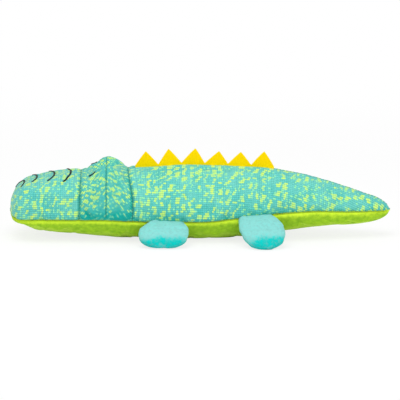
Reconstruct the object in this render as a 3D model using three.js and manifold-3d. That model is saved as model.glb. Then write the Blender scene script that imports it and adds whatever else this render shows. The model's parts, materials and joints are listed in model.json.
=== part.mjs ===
// A stuffed cloth crocodile, in millimetres: nose towards -X, back towards +Z, belly resting on z = 0.
// A closed form that swells and tapers is the stuffed shape. Its skin is a thin shell of cloth, cut
// along the seams into separate panels, with the fibre filling inside.
import * as THREE from "three";
import { mergeVertices } from "three/addons/utils/BufferGeometryUtils.js";
import Module from "manifold-3d";

const wasm = await Module();
wasm.setup();

// Stuffed body
const bodyLength = 380;
const bodyHeight = 72;
const bodyHalfWidth = 42;
const restDepth = 0.5; // how deep the belly is cut flat where the toy lies on it

// The two back panels rise to the spine seam like a tent: how much less square the section is above
// its middle than below, and the shares of the length where that starts, is full and fades out again
const ridgeSharpness = 0.55;
const ridgeStartShare = 0.28;
const ridgeFullShare = 0.4;
const ridgeFadeShare = 0.88;

// Cloth and sewing
const clothThickness = 1.6;
const seamGap = 0.3;
const fillingGap = 0.3;
const grooveDepth = 1;
const grooveWidth = 2;

// Cross seams of the head, as shares of the body length at half height, and how far each leans or bows
const snoutSeamShare = 0.188;
const browSeamShare = 0.2525;
const neckSeamShare = 0.3215;
const snoutSeamLean = 4;
const browSeamLean = -1.2;
const neckSeamBow = 5;
const seamReach = 12;

// Eye bumps
const browHeight = 14;
const browSpacing = 52;
const browHalfWidth = 20;
const browFrontReach = 25;
const browRearReach = 21;

// Spike strip
const feltThickness = 2;
const stripLength = 139;
const stripStartShare = 0.3295;
const stripBandHeight = 1.4;
const stripClearance = 0.5;
const spikeCount = 6;
const spikeHeight = 17.2;
const spikeTipRadius = 0.9;

// Feet
const footThickness = 13;
const footRootDepth = 4; // how far the root runs before the stuffing starts
const footGrooveDepth = 0.5;
const footEdgeRatio = 1.6; // how much thicker the wall is at the pouch's edge than on its faces
const footDroop = 42; // degrees below level
const footRootShare = 0.7; // how much of the foot's width is sewn to the body
const footClearance = 0.65; // from the side seam out to the line the foot folds about
const frontFootLength = 30.5;
const frontFootWidth = 51;
const frontFootRake = 0;
const frontFootShare = 0.403;
const rearFootLength = 39.5;
const rearFootWidth = 46;
const rearFootRake = 5;
const rearFootShare = 0.6465;

// Embroidery
const threadHeight = 0.8;
const threadWidth = 1.3;
const eyeThreadWidth = 1.8;
const eyeLength = 7.5;
const eyeFrontShare = 0.206;
const eyeSetIn = 4;
const eyeLeanShare = 0.45; // how far outwards the eye leans for each step back
const arcHalfSpan = 26;
const arcSweep = 7.3;

// Cutting solids run past what they cut by this much
const overrun = 20;

// Stations of the body from nose to tail, as shares: place along the length, lowest and highest
// point and side seam of the height, half width of the widest, and the squareness of the section
const bodyRowShares = [
  [0, 0.385, 0.385, 0.385, 0, 2.1],
  [0.005, 0.275, 0.536, 0.358, 0.333, 2.2],
  [0.016, 0.238, 0.705, 0.331, 0.714, 2.35],
  [0.037, 0.197, 0.794, 0.33, 0.874, 2.6],
  [0.068, 0.141, 0.862, 0.338, 0.905, 2.8],
  [0.116, 0.107, 0.908, 0.34, 0.905, 2.8],
  [0.179, 0.08, 0.935, 0.341, 0.914, 2.7],
  [0.253, 0.037, 0.942, 0.345, 0.952, 2.5],
  [0.321, 0.015, 0.972, 0.33, 0.988, 2.4],
  [0.389, 0.004, 0.993, 0.324, 0.999, 2.3],
  [0.458, 0, 0.999, 0.324, 1, 2.3],
  [0.526, 0.007, 0.991, 0.328, 0.992, 2.3],
  [0.6, 0.022, 0.976, 0.371, 0.967, 2.3],
  [0.668, 0.056, 0.958, 0.407, 0.89, 2.3],
  [0.737, 0.107, 0.914, 0.428, 0.763, 2.3],
  [0.805, 0.15, 0.829, 0.427, 0.621, 2.3],
  [0.868, 0.173, 0.733, 0.408, 0.493, 2.25],
  [0.926, 0.201, 0.62, 0.398, 0.368, 2.2],
  [0.963, 0.238, 0.547, 0.397, 0.27, 2.15],
  [0.984, 0.28, 0.484, 0.397, 0.181, 2.1],
  [0.995, 0.333, 0.429, 0.395, 0.095, 2],
  [1, 0.387, 0.387, 0.387, 0, 2],
];

// Stations of a foot from its sewn root to its toe: place along the length, lowest and highest
// point and seam of the thickness, half width of the widest, and squareness
const footRowShares = [
  [0, 0.42, 0.58, 0.5, 0.66, 2.6],
  [0.035, 0.345, 0.655, 0.5, 0.7, 2.6],
  [0.12, 0.29, 0.71, 0.5, 0.78, 2.6],
  [0.28, 0.13, 0.87, 0.5, 0.93, 2.5],
  [0.48, 0.02, 0.98, 0.5, 1, 2.4],
  [0.68, 0, 1, 0.5, 0.97, 2.4],
  [0.84, 0.06, 0.94, 0.5, 0.84, 2.3],
  [0.94, 0.19, 0.81, 0.5, 0.6, 2.2],
  [0.985, 0.34, 0.66, 0.5, 0.31, 2.1],
  [1, 0.5, 0.5, 0.5, 0, 2],
];

// Rings and columns of the meshes. Extra rings and columns lie close beside each seam.
const ringsPerStation = 2;
const upperColumnShares = [0, 0.02, 0.06, 0.14, 0.22, 0.3, 0.38, 0.45, 0.485, 0.5];
const lowerColumnShares = [0, 0.03, 0.1, 0.22, 0.36, 0.5];
const innerUpperColumnShares = [0, 0.06, 0.14, 0.22, 0.3, 0.38, 0.45, 0.5];
const innerLowerColumnShares = [0, 0.1, 0.22, 0.36, 0.5];
const footColumnShares = [0, 0.08, 0.22, 0.36, 0.5];
const footInnerColumnShares = [0, 0.15, 0.35, 0.5];
const grooveRingShares = [-2.2, -1, 0, 1, 2.2];
const seamLineSteps = 60;
const crossSeamSteps = 16;
const stripBaseSteps = 18;
const arcSteps = 8;

const cloth = { roughness: 0.9, metalness: 0 };
const wovenCloth = new THREE.MeshStandardMaterial({ color: 0x4cc4c8, ...cloth });
const bellyPlush = new THREE.MeshStandardMaterial({ color: 0x9fd32a, ...cloth });
const footPlush = new THREE.MeshStandardMaterial({ color: 0x7fe0dc, ...cloth });
const felt = new THREE.MeshStandardMaterial({ color: 0xf8d90f, ...cloth });
const thread = new THREE.MeshStandardMaterial({ color: 0x12261f, ...cloth });
const fibre = new THREE.MeshStandardMaterial({ color: 0xf2f2ee, ...cloth });

const noseX = -bodyLength / 2;
const bodyX = (share) => noseX + share * bodyLength;
const clamp = THREE.MathUtils.clamp;
const smoothstep = THREE.MathUtils.smoothstep;

// Joining and cutting

function solidOf(geometry) {
  const bare = geometry.clone();
  bare.deleteAttribute("normal");
  bare.deleteAttribute("uv");
  const merged = mergeVertices(bare);
  const vertProperties = merged.attributes.position.array;
  const triVerts = new Uint32Array(merged.index.array);
  return new wasm.Manifold(new wasm.Mesh({ numProp: 3, vertProperties, triVerts }));
}

function meshOf(solid, name, material) {
  const made = solid.getMesh();
  const geometry = new THREE.BufferGeometry();
  geometry.setAttribute("position", new THREE.BufferAttribute(made.vertProperties, 3));
  geometry.setIndex(new THREE.BufferAttribute(made.triVerts, 1));
  geometry.computeVertexNormals();
  const mesh = new THREE.Mesh(geometry, material);
  mesh.name = name;
  return mesh;
}

// A prism across the toy from an outline of [x, z] points
function prismAlongY(points, halfDepth) {
  const outline = new THREE.Shape(points.map(([x, z]) => new THREE.Vector2(x, z)));
  const geometry = new THREE.ExtrudeGeometry(outline, { depth: 2 * halfDepth, bevelEnabled: false });
  geometry.rotateX(Math.PI / 2);
  geometry.translate(0, halfDepth, 0);
  return solidOf(geometry);
}

// A prism standing up from an outline of [x, y] points
function prismAlongZ(points, low, high) {
  const outline = new THREE.Shape(points.map(([x, y]) => new THREE.Vector2(x, y)));
  const geometry = new THREE.ExtrudeGeometry(outline, { depth: high - low, bevelEnabled: false });
  geometry.translate(0, 0, low);
  return solidOf(geometry);
}

function boxSolid(min, max) {
  const size = new THREE.Vector3().subVectors(max, min);
  const geometry = new THREE.BoxGeometry(size.x, size.y, size.z);
  geometry.translate(...new THREE.Vector3().addVectors(min, max).multiplyScalar(0.5));
  return solidOf(geometry);
}

// The stuffed form

// Smooth curves through a table of stations, read by the place t = 0 to 1 in the table
function stationCurves(rowShares) {
  const curveThrough = (points) => new THREE.CatmullRomCurve3(points, false, "catmullrom", 0.5);
  const curves = [
    curveThrough(rowShares.map(([at, low, high]) => new THREE.Vector3(at, low, high))),
    curveThrough(rowShares.map(([at, , , seam, half]) => new THREE.Vector3(at, seam, half))),
  ];
  const squareness = new THREE.SplineCurve(rowShares.map((row) => new THREE.Vector2(row[0], row.at(-1))));
  return (t) => {
    const heights = curves[0].getPoint(t);
    const sides = curves[1].getPoint(t);
    return {
      at: heights.x,
      low: heights.y,
      high: Math.max(heights.z, heights.y),
      seam: sides.y,
      half: Math.max(sides.z, 0),
      square: squareness.getPoint(t).y,
    };
  };
}

// The place in the table at which the form has gone a share of its length
function placeAt(curvesAt, share) {
  let low = 0;
  let high = 1;
  for (let step = 0; step < 40; step += 1) {
    const middle = (low + high) / 2;
    if (curvesAt(middle).at < share) low = middle;
    else high = middle;
  }
  return (low + high) / 2;
}

// One section of a form: its centre, half sizes and the angle of its seam on the right-hand side
function sectionOf(form, t) {
  const row = form.curvesAt(t);
  const low = row.low * form.height - form.drop;
  const high = row.high * form.height - form.drop;
  const section = {
    x: form.startX + row.at * form.length,
    centre: (low + high) / 2,
    halfHeight: (high - low) / 2,
    halfWidth: row.half * form.halfWidth,
    square: row.square,
    upperSquare: row.square - form.ridge(row.at),
    seamAngle: 0,
  };
  const above = row.seam * form.height - form.drop - section.centre;
  if (section.halfHeight > 0) {
    const shareUp = clamp(above / section.halfHeight, -1, 1);
    const across = section.halfWidth * (1 - Math.abs(shareUp) ** section.square) ** (1 / section.square);
    section.seamAngle = Math.atan2(above, across);
  }
  return section;
}

function pointOf(form, t, angle) {
  const { x, centre, halfHeight, halfWidth, square, upperSquare } = sectionOf(form, t);
  if (halfWidth === 0 || halfHeight === 0) return form.shape(new THREE.Vector3(x, 0, centre), angle);
  const power = Math.sin(angle) > 0 ? upperSquare : square;
  const cosine = Math.abs(Math.cos(angle) / halfWidth) ** power;
  const sine = Math.abs(Math.sin(angle) / halfHeight) ** power;
  const radius = (cosine + sine) ** (-1 / power);
  const point = new THREE.Vector3(x, radius * Math.cos(angle), centre + radius * Math.sin(angle));
  return form.shape(point, angle);
}

function normalOf(form, t, angle) {
  const stepT = 0.004;
  const stepAngle = 0.02;
  const before = pointOf(form, Math.max(t - stepT, 0), angle);
  const along = pointOf(form, Math.min(t + stepT, 1), angle).sub(before);
  const around = pointOf(form, t, angle + stepAngle).sub(pointOf(form, t, angle - stepAngle));
  return around.cross(along).normalize();
}

// Angles of the columns of one ring: over the top from seam to seam, then back underneath
function columnAngles(form, seamAngle) {
  const angles = [];
  const upper = Math.PI - 2 * seamAngle;
  const lower = Math.PI + 2 * seamAngle;
  const sides = [
    [form.upperShares, seamAngle, upper],
    [form.lowerShares, Math.PI - seamAngle, lower],
  ];
  for (const [shares, start, sweep] of sides) {
    const mirrored = shares.slice(1, -1).reverse();
    for (const share of shares) angles.push(start + share * sweep);
    for (const share of mirrored) angles.push(start + (1 - share) * sweep);
  }
  return angles;
}

// The closed surface of a form, moved out by an offset, or in by a negative one. The places of its
// rings are counted from nose to tail, and a place at either end is a single point.
function surfaceOf(form, places, offset) {
  const rings = places.map((t) => {
    const section = sectionOf(form, t);
    const pole = section.halfWidth === 0 || section.halfHeight === 0;
    const angles = columnAngles(form, section.seamAngle);
    if (pole) {
      const direction = t < 0.5 ? -1 : 1;
      const tip = pointOf(form, t, 0);
      return [tip.add(new THREE.Vector3(direction * offset, 0, 0))];
    }
    return angles.map((angle, column) => {
      const draw = form.groove(section.x, angle, column);
      return pointOf(form, t, angle).addScaledVector(normalOf(form, t, angle), offset - draw);
    });
  });
  const columns = Math.max(...rings.map((ring) => ring.length));
  const positions = [];
  const starts = rings.map((ring) => {
    const start = positions.length / 3;
    for (const point of ring) positions.push(...point);
    return start;
  });
  const faces = [];
  const indexOf = (ring, column) => starts[ring] + (column % rings[ring].length);
  for (let ring = 0; ring + 1 < rings.length; ring += 1) {
    for (let column = 0; column < columns; column += 1) {
      const [a, b] = [indexOf(ring, column), indexOf(ring, column + 1)];
      const [c, d] = [indexOf(ring + 1, column), indexOf(ring + 1, column + 1)];
      if (a !== b) faces.push(a, b, c);
      if (c !== d) faces.push(b, d, c);
    }
  }
  closeEnd(positions, faces, rings[0], starts[0], true);
  closeEnd(positions, faces, rings[rings.length - 1], starts[rings.length - 1], false);
  const geometry = new THREE.BufferGeometry();
  geometry.setAttribute("position", new THREE.Float32BufferAttribute(positions, 3));
  geometry.setIndex(faces);
  return solidOf(geometry);
}

// A flat end, where a form doesn't run out to a point
function closeEnd(positions, faces, ring, start, first) {
  if (ring.length === 1) return;
  const centre = ring.reduce((sum, point) => sum.add(point), new THREE.Vector3());
  const middle = positions.length / 3;
  positions.push(...centre.divideScalar(ring.length));
  for (let column = 0; column < ring.length; column += 1) {
    const a = start + column;
    const b = start + ((column + 1) % ring.length);
    if (first) faces.push(middle, b, a);
    else faces.push(middle, a, b);
  }
}

// The body

const snoutSeamX = bodyX(snoutSeamShare);
const browSeamX = bodyX(browSeamShare);
const neckSeamX = bodyX(neckSeamShare);
const middleZ = bodyHeight / 2;

// The neck seam is straight up the side and bows forwards over the back
function neckSeamShift(z) {
  return -neckSeamBow * ((2 * z) / bodyHeight - 1) * smoothstep(z, middleZ, bodyHeight);
}

// Each cross seam as its distance from its own place, at a height up the side
const crossSeams = [
  { x: snoutSeamX, shift: (z) => (snoutSeamLean * (z - middleZ)) / bodyHeight },
  { x: browSeamX, shift: (z) => (browSeamLean * (z - middleZ)) / bodyHeight },
  { x: neckSeamX, shift: neckSeamShift },
];

// How high the eye bumps raise the cloth at a place on the head
function browRise(x, y) {
  const ahead = browSeamX - x;
  const front = 0.5 + 0.5 * Math.cos(Math.PI * clamp(ahead / browFrontReach, 0, 1));
  const rear = 1 - clamp(-ahead / browRearReach, 0, 1) ** 2;
  const aside = (Math.abs(y) - browSpacing / 2) / browHalfWidth;
  const across = Math.cos((Math.PI / 2) * clamp(aside, -1, 1)) ** 2;
  return browHeight * (ahead > 0 ? front : rear) * across;
}

// Raises the eye bumps, and leans the sections near each cross seam along it
function shapeBody(point, angle) {
  const upward = smoothstep(Math.sin(angle), 0, 0.5);
  const rise = browRise(point.x, point.y) * upward;
  let shift = 0;
  for (const seam of crossSeams) {
    const closeness = Math.exp(-(((point.x - seam.x) / seamReach) ** 2));
    shift += seam.shift(point.z) * closeness;
  }
  return point.add(new THREE.Vector3(shift, 0, rise));
}

// How much sharper the section is above its middle than below, at a share of the body length
function backRidge(share) {
  const rising = smoothstep(share, ridgeStartShare, ridgeFullShare);
  return ridgeSharpness * rising * (1 - smoothstep(share, ridgeFadeShare, 1));
}

const drawIn = (distance, depth) => depth * Math.exp(-((distance / grooveWidth) ** 2));
const sideColumn = 2 * (upperColumnShares.length - 1);
const footSideColumn = 2 * (footColumnShares.length - 1);
const spineColumn = upperColumnShares.length - 1;

// How far the stitching draws the cloth in: along the sides, across the head and down the spine
function bodyGroove(x, angle, column) {
  if (column === 0 || column === sideColumn) return grooveDepth;
  if (column > sideColumn) return 0;
  const cross = crossSeams.map((seam) => drawIn(x - seam.x, grooveDepth));
  const spine = column === spineColumn && x > neckSeamX ? grooveDepth / 2 : 0;
  return Math.max(...cross, spine);
}

const body = {
  curvesAt: stationCurves(bodyRowShares),
  startX: noseX,
  length: bodyLength,
  height: bodyHeight,
  drop: restDepth,
  halfWidth: bodyHalfWidth,
  shape: shapeBody,
  ridge: backRidge,
  groove: bodyGroove,
  upperShares: upperColumnShares,
  lowerShares: lowerColumnShares,
};

const nowhere = () => 0;

// The same form with a plainer surface, for what lies under the cloth
const underBody = {
  ...body,
  groove: nowhere,
  upperShares: innerUpperColumnShares,
  lowerShares: innerLowerColumnShares,
};

const evenPlaces = (steps) => Array.from({ length: steps + 1 }, (_, step) => step / steps);

// Places of the rings on the outside: even steps, with a fan of rings at each cross seam
function bodyPlaces() {
  const steps = ringsPerStation * (bodyRowShares.length - 1);
  const placeOf = (x) => placeAt(body.curvesAt, (x - noseX) / bodyLength);
  const seamPlaces = crossSeams.flatMap((seam) =>
    grooveRingShares.map((share) => placeOf(seam.x + share * grooveWidth)),
  );
  const fans = crossSeams.map((seam, index) => [
    seamPlaces[index * grooveRingShares.length],
    seamPlaces[(index + 1) * grooveRingShares.length - 1],
  ]);
  const even = evenPlaces(steps);
  const clearOfFans = even.filter((t) => fans.every(([low, high]) => t < low || t > high));
  return [...clearOfFans, ...seamPlaces].sort((a, b) => a - b);
}

// Places of the rings under the cloth: half as many behind the neck as on the outside
function innerPlaces() {
  const neckPlace = placeAt(body.curvesAt, neckSeamShare);
  const fromNeck = bodyPlaces().filter((t) => t > neckPlace);
  const sparse = fromNeck.reverse().filter((t, index) => index % 2 === 0);
  return [...bodyPlaces().filter((t) => t <= neckPlace), ...sparse.reverse()];
}

const toyFar = bodyLength / 2 + overrun;
const toySide = bodyHalfWidth + overrun;
const toyTop = bodyHeight + browHeight + overrun;

// The side seam as a line in side view, from beyond the nose to beyond the tail
function sideSeamLine(lift) {
  const points = [];
  for (let step = 0; step <= seamLineSteps; step += 1) {
    const row = body.curvesAt(step / seamLineSteps);
    points.push([bodyX(row.at), row.seam * bodyHeight - restDepth + lift]);
  }
  const first = points[0];
  const last = points[points.length - 1];
  return [[-toyFar, first[1]], ...points, [toyFar, last[1]]];
}

// A cross seam as a line in side view, from below the belly to above the back
function crossSeamLine(seam, aside) {
  const points = [];
  for (let step = 0; step <= crossSeamSteps; step += 1) {
    const z = -overrun + (step / crossSeamSteps) * (toyTop + overrun);
    points.push([seam.x + seam.shift(z) + aside, z]);
  }
  return points;
}

// The slab of space between two cross seams, or beyond the first or last one
function slabBetween(front, rear) {
  const ahead = front ? crossSeamLine(front, seamGap / 2) : crossSeamLine({ x: -toyFar, shift: () => 0 }, 0);
  const behind = rear ? crossSeamLine(rear, -seamGap / 2) : crossSeamLine({ x: toyFar, shift: () => 0 }, 0);
  return prismAlongY([...ahead, ...behind.reverse()], toySide);
}

function bodyPieces() {
  const ground = boxSolid(
    new THREE.Vector3(-toyFar, -toySide, 0),
    new THREE.Vector3(toyFar, toySide, toyTop),
  );
  const outside = surfaceOf(body, bodyPlaces(), 0);
  const inside = surfaceOf(underBody, innerPlaces(), -clothThickness);
  const core = surfaceOf(underBody, innerPlaces(), -clothThickness - fillingGap);
  const skin = outside.subtract(inside).intersect(ground);
  const above = prismAlongY([...sideSeamLine(seamGap / 2), [toyFar, toyTop], [-toyFar, toyTop]], toySide);
  const below = prismAlongY(
    [...sideSeamLine(-seamGap / 2).reverse(), [-toyFar, -overrun], [toyFar, -overrun]],
    toySide,
  );
  const upper = skin.intersect(above);
  const [snoutSeam, browSeam, neckSeam] = crossSeams;
  const back = upper.intersect(slabBetween(neckSeam, null));
  const leftHalf = boxSolid(
    new THREE.Vector3(-toyFar, -toySide, -overrun),
    new THREE.Vector3(toyFar, -seamGap / 2, toyTop),
  );
  const rightHalf = boxSolid(
    new THREE.Vector3(-toyFar, seamGap / 2, -overrun),
    new THREE.Vector3(toyFar, toySide, toyTop),
  );
  return [
    meshOf(upper.intersect(slabBetween(null, snoutSeam)), "snout_panel", wovenCloth),
    meshOf(upper.intersect(slabBetween(snoutSeam, browSeam)), "brow_front_panel", wovenCloth),
    meshOf(upper.intersect(slabBetween(browSeam, neckSeam)), "brow_rear_panel", wovenCloth),
    meshOf(back.intersect(leftHalf), "back_panel_left", wovenCloth),
    meshOf(back.intersect(rightHalf), "back_panel_right", wovenCloth),
    meshOf(skin.intersect(below), "belly_panel", bellyPlush),
    meshOf(core, "body_filling", fibre),
  ];
}

// The spike strip

// The line of the back on the centre plane, at a share of the body length
function backLine(share) {
  return pointOf(body, placeAt(body.curvesAt, share), Math.PI / 2).z;
}

// Each spike: where its tip stands in its own pitch, and how tall it is
const spikeTipShares = [0.46, 0.44, 0.6, 0.62, 0.56, 0.57];
const spikeHeightShares = [0.9, 1, 1, 0.9, 0.89, 1.03];

function spikeStrip() {
  const pointAt = (along, height) => {
    const share = stripStartShare + (along * stripLength) / bodyLength;
    return new THREE.Vector2(bodyX(share), backLine(share) + stripClearance + height);
  };
  const outline = new THREE.Shape();
  const start = pointAt(0, 0);
  outline.moveTo(start.x, start.y);
  for (let step = 1; step <= stripBaseSteps; step += 1) {
    const point = pointAt(step / stripBaseSteps, 0);
    outline.lineTo(point.x, point.y);
  }
  for (let spike = spikeCount - 1; spike >= 0; spike -= 1) {
    const rear = pointAt((spike + 1) / spikeCount, stripBandHeight);
    const front = pointAt(spike / spikeCount, stripBandHeight);
    const tip = pointAt((spike + spikeTipShares[spike]) / spikeCount, spikeHeight * spikeHeightShares[spike]);
    const intoTip = rear.clone().sub(tip).setLength(spikeTipRadius).add(tip);
    const outOfTip = front.clone().sub(tip).setLength(spikeTipRadius).add(tip);
    outline.lineTo(rear.x, rear.y);
    outline.lineTo(intoTip.x, intoTip.y);
    outline.quadraticCurveTo(tip.x, tip.y, outOfTip.x, outOfTip.y);
  }
  const last = pointAt(0, stripBandHeight);
  outline.lineTo(last.x, last.y);
  const geometry = new THREE.ExtrudeGeometry(outline, {
    depth: feltThickness,
    bevelEnabled: false,
    curveSegments: 3,
  });
  geometry.rotateX(Math.PI / 2);
  geometry.translate(0, feltThickness / 2, 0);
  return meshOf(solidOf(geometry), "spike_strip", felt);
}

// Feet

// A pouch of the foot's form that starts at a distance from its root, leaning aside by a slope
function pouchForm(start, length, width, thickness, slope, columnShares, groove) {
  return {
    curvesAt: stationCurves(footRowShares),
    startX: start,
    length,
    height: thickness,
    drop: thickness / 2,
    halfWidth: width / 2,
    shape: (point) => point.add(new THREE.Vector3(0, slope * point.x, 0)),
    ridge: nowhere,
    groove,
    upperShares: columnShares,
    lowerShares: columnShares,
  };
}

const footGroove = (x, angle, column) => (column % footSideColumn === 0 ? footGrooveDepth : 0);

// A smaller pouch inside the foot, with a wall of the given thickness left round it
function pouchInside(length, width, slope, wall) {
  const edge = footEdgeRatio * wall;
  return pouchForm(
    footRootDepth,
    length - footRootDepth - edge,
    width - 2 * edge,
    footThickness - 2 * wall,
    slope,
    footInnerColumnShares,
    nowhere,
  );
}

// The pieces of one foot, lying along +X from its root, with its seam in the plane z = 0
function footPieces(name, length, width, rake) {
  const slope = rake / length;
  const places = evenPlaces(footRowShares.length - 1);
  const pouch = pouchForm(0, length, width, footThickness, slope, footColumnShares, footGroove);
  const outside = surfaceOf(pouch, places, 0);
  const inside = surfaceOf(pouchInside(length, width, slope, clothThickness), places, 0);
  const core = surfaceOf(pouchInside(length, width, slope, clothThickness + fillingGap), places, 0);
  const skin = outside.subtract(inside);
  const reach = new THREE.Vector3(length + overrun, width + overrun, footThickness + overrun);
  const topHalf = boxSolid(new THREE.Vector3(-overrun, -reach.y, seamGap / 2), reach);
  const soleHalf = boxSolid(
    new THREE.Vector3(-overrun, -reach.y, -reach.z),
    new THREE.Vector3(reach.x, reach.y, -seamGap / 2),
  );
  return [
    meshOf(skin.intersect(topHalf), name + "_top", footPlush),
    meshOf(skin.intersect(soleHalf), name + "_sole", footPlush),
    meshOf(core, name + "_filling", fibre),
  ];
}

// A foot hangs from the side seam: its root lies along the seam and it droops outwards
function foot(name, share, side, length, width, rake) {
  const place = placeAt(body.curvesAt, share);
  const seamPoint = (t) => {
    const point = pointOf(body, t, sectionOf(body, t).seamAngle);
    return new THREE.Vector3(point.x, side * Math.abs(point.y), point.z);
  };
  const root = seamPoint(place);
  const halfRoot = (footRootShare * width) / 2 / bodyLength;
  const along = seamPoint(placeAt(body.curvesAt, share + halfRoot)).sub(
    seamPoint(placeAt(body.curvesAt, share - halfRoot)),
  );
  along.normalize().multiplyScalar(side);
  const level = new THREE.Vector3(0, 0, 1).cross(along).normalize();
  const droop = THREE.MathUtils.degToRad(footDroop);
  const outward = level.clone().applyAxisAngle(along, -droop);
  const upward = along.clone().cross(outward);
  const group = new THREE.Group();
  const turn = new THREE.Matrix4().makeBasis(outward, along.clone().negate(), upward);
  group.quaternion.setFromRotationMatrix(turn);
  group.position.copy(root).addScaledVector(level, footClearance);
  group.add(...footPieces(name, length, width, -side * rake));
  return group;
}

// Embroidery: raised satin stitch that follows the cloth of the head

// Each arc: how far back its tip is along the body, and its sweep and span beside the rear one's
const arcs = [
  { name: "nose_stitch", tipShare: 0.0368, sweepShare: 0.82, spanShare: 0.54 },
  { name: "snout_stitch_front", tipShare: 0.0705, sweepShare: 0.75, spanShare: 0.77 },
  { name: "snout_stitch_middle", tipShare: 0.1153, sweepShare: 0.89, spanShare: 0.81 },
  { name: "snout_stitch_rear", tipShare: 0.1597, sweepShare: 1, spanShare: 1 },
];

// The plan outline of an arc that opens forwards
function arcOutline({ tipShare, sweepShare, spanShare }) {
  const line = (aside) =>
    Array.from({ length: arcSteps + 1 }, (_, step) => {
      const across = (2 * step) / arcSteps - 1;
      const back = bodyX(tipShare) - sweepShare * arcSweep * across ** 2;
      return [back + aside, across * spanShare * arcHalfSpan];
    });
  return [...line(threadWidth / 2), ...line(-threadWidth / 2).reverse()];
}

// The plan outline of an eye: a short straight stroke up the front of its bump
function eyeOutline(side) {
  const front = bodyX(eyeFrontShare);
  const y = side * (browSpacing / 2 - eyeSetIn);
  const corner = (along, across) => [front + along, y + side * eyeLeanShare * along + across];
  const half = eyeThreadWidth / 2;
  return [corner(0, -half), corner(eyeLength, -half), corner(eyeLength, half), corner(0, half)];
}

function embroidery() {
  const places = bodyPlaces();
  const top = surfaceOf(body, places, seamGap + threadHeight);
  const underside = surfaceOf(body, places, seamGap);
  const layer = top.subtract(underside);
  const stitch = (name, outline) => {
    const prism = prismAlongZ(outline, middleZ, toyTop);
    return meshOf(layer.intersect(prism), name, thread);
  };
  return [
    ...arcs.map((arc) => stitch(arc.name, arcOutline(arc))),
    stitch("eye_stitch_left", eyeOutline(-1)),
    stitch("eye_stitch_right", eyeOutline(1)),
  ];
}

const toy = new THREE.Group();
toy.add(...bodyPieces(), spikeStrip(), ...embroidery());
for (const [sideName, side] of [["left", -1], ["right", 1]]) {
  toy.add(
    foot("front_foot_" + sideName, frontFootShare, side, frontFootLength, frontFootWidth, frontFootRake),
    foot("rear_foot_" + sideName, rearFootShare, side, rearFootLength, rearFootWidth, rearFootRake),
  );
}

export default toy;
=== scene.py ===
"""A stuffed cloth crocodile: woven back, plush belly, felt spikes and four padded feet.

Laid out as an add-on and run as a script. All sizes are in metres: nose towards -X, back towards +Z,
belly resting on z = 0. Each operator makes one piece, or one group of like pieces.
"""

import functools
import json
import math

import bmesh
import bpy
import numpy as np
from bpy.props import FloatProperty, FloatVectorProperty, IntProperty, PointerProperty
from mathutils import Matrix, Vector, noise
from mathutils.bvhtree import BVHTree


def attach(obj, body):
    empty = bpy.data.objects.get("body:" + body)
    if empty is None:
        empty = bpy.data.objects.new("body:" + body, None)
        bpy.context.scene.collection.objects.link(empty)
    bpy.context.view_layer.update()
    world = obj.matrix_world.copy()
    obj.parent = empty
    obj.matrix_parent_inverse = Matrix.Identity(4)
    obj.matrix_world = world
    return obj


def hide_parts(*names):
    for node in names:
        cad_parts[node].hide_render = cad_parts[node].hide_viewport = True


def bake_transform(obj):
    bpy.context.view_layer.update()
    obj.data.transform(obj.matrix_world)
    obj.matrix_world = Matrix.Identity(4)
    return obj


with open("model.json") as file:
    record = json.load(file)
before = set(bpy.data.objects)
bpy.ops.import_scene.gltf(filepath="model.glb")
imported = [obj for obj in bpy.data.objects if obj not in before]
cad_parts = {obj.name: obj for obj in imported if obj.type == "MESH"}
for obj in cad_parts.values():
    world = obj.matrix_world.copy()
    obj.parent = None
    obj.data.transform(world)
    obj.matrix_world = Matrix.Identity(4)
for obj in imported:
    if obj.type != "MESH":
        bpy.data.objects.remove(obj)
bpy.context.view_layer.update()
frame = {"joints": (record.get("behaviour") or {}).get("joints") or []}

bl_info = {
    "name": "Cloth crocodile",
    "version": (1, 0, 0),
    "blender": (4, 5, 0),
    "location": "3D View > Sidebar > Crocodile",
    "description": "Makes a stuffed cloth crocodile with felt spikes and padded feet",
    "category": "Add Mesh",
}

# Stations of the body from nose to tail, as shares: place along the length, lowest and highest
# point and side seam of the height, half width of the widest, and squareness of the section
BODY_STATIONS = np.array([
    (0, 0.385, 0.385, 0.385, 0, 2.1),
    (0.005, 0.275, 0.536, 0.346, 0.333, 2.2),
    (0.016, 0.238, 0.682, 0.319, 0.714, 2.35),
    (0.037, 0.197, 0.788, 0.318, 0.874, 2.6),
    (0.068, 0.141, 0.85, 0.326, 0.905, 2.8),
    (0.116, 0.107, 0.897, 0.328, 0.905, 2.8),
    (0.179, 0.08, 0.927, 0.329, 0.914, 2.7),
    (0.253, 0.037, 0.942, 0.333, 0.952, 2.5),
    (0.321, 0.015, 0.972, 0.318, 0.988, 2.4),
    (0.389, 0.004, 0.993, 0.312, 0.999, 2.3),
    (0.458, 0, 0.999, 0.312, 1, 2.3),
    (0.526, 0.007, 0.991, 0.316, 0.992, 2.3),
    (0.6, 0.022, 0.976, 0.359, 0.967, 2.3),
    (0.668, 0.056, 0.958, 0.395, 0.89, 2.3),
    (0.737, 0.107, 0.914, 0.416, 0.763, 2.3),
    (0.805, 0.15, 0.829, 0.42, 0.621, 2.3),
    (0.868, 0.173, 0.733, 0.401, 0.493, 2.25),
    (0.926, 0.201, 0.62, 0.391, 0.368, 2.2),
    (0.963, 0.238, 0.547, 0.39, 0.27, 2.15),
    (0.984, 0.28, 0.484, 0.39, 0.181, 2.1),
    (0.995, 0.333, 0.429, 0.388, 0.095, 2),
    (1, 0.387, 0.387, 0.387, 0, 2),
])

# Shares of the length where the back starts to rise to its spine seam like a tent, where it does so
# fully, and where that fades out again
RIDGE_SHARES = (0.28, 0.4, 0.88)

# Places along X where the spikes start to draw that seam up, do so fully, and fade out
DRAWN_UP = (-0.045, -0.01, 0.062, 0.09)

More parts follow.
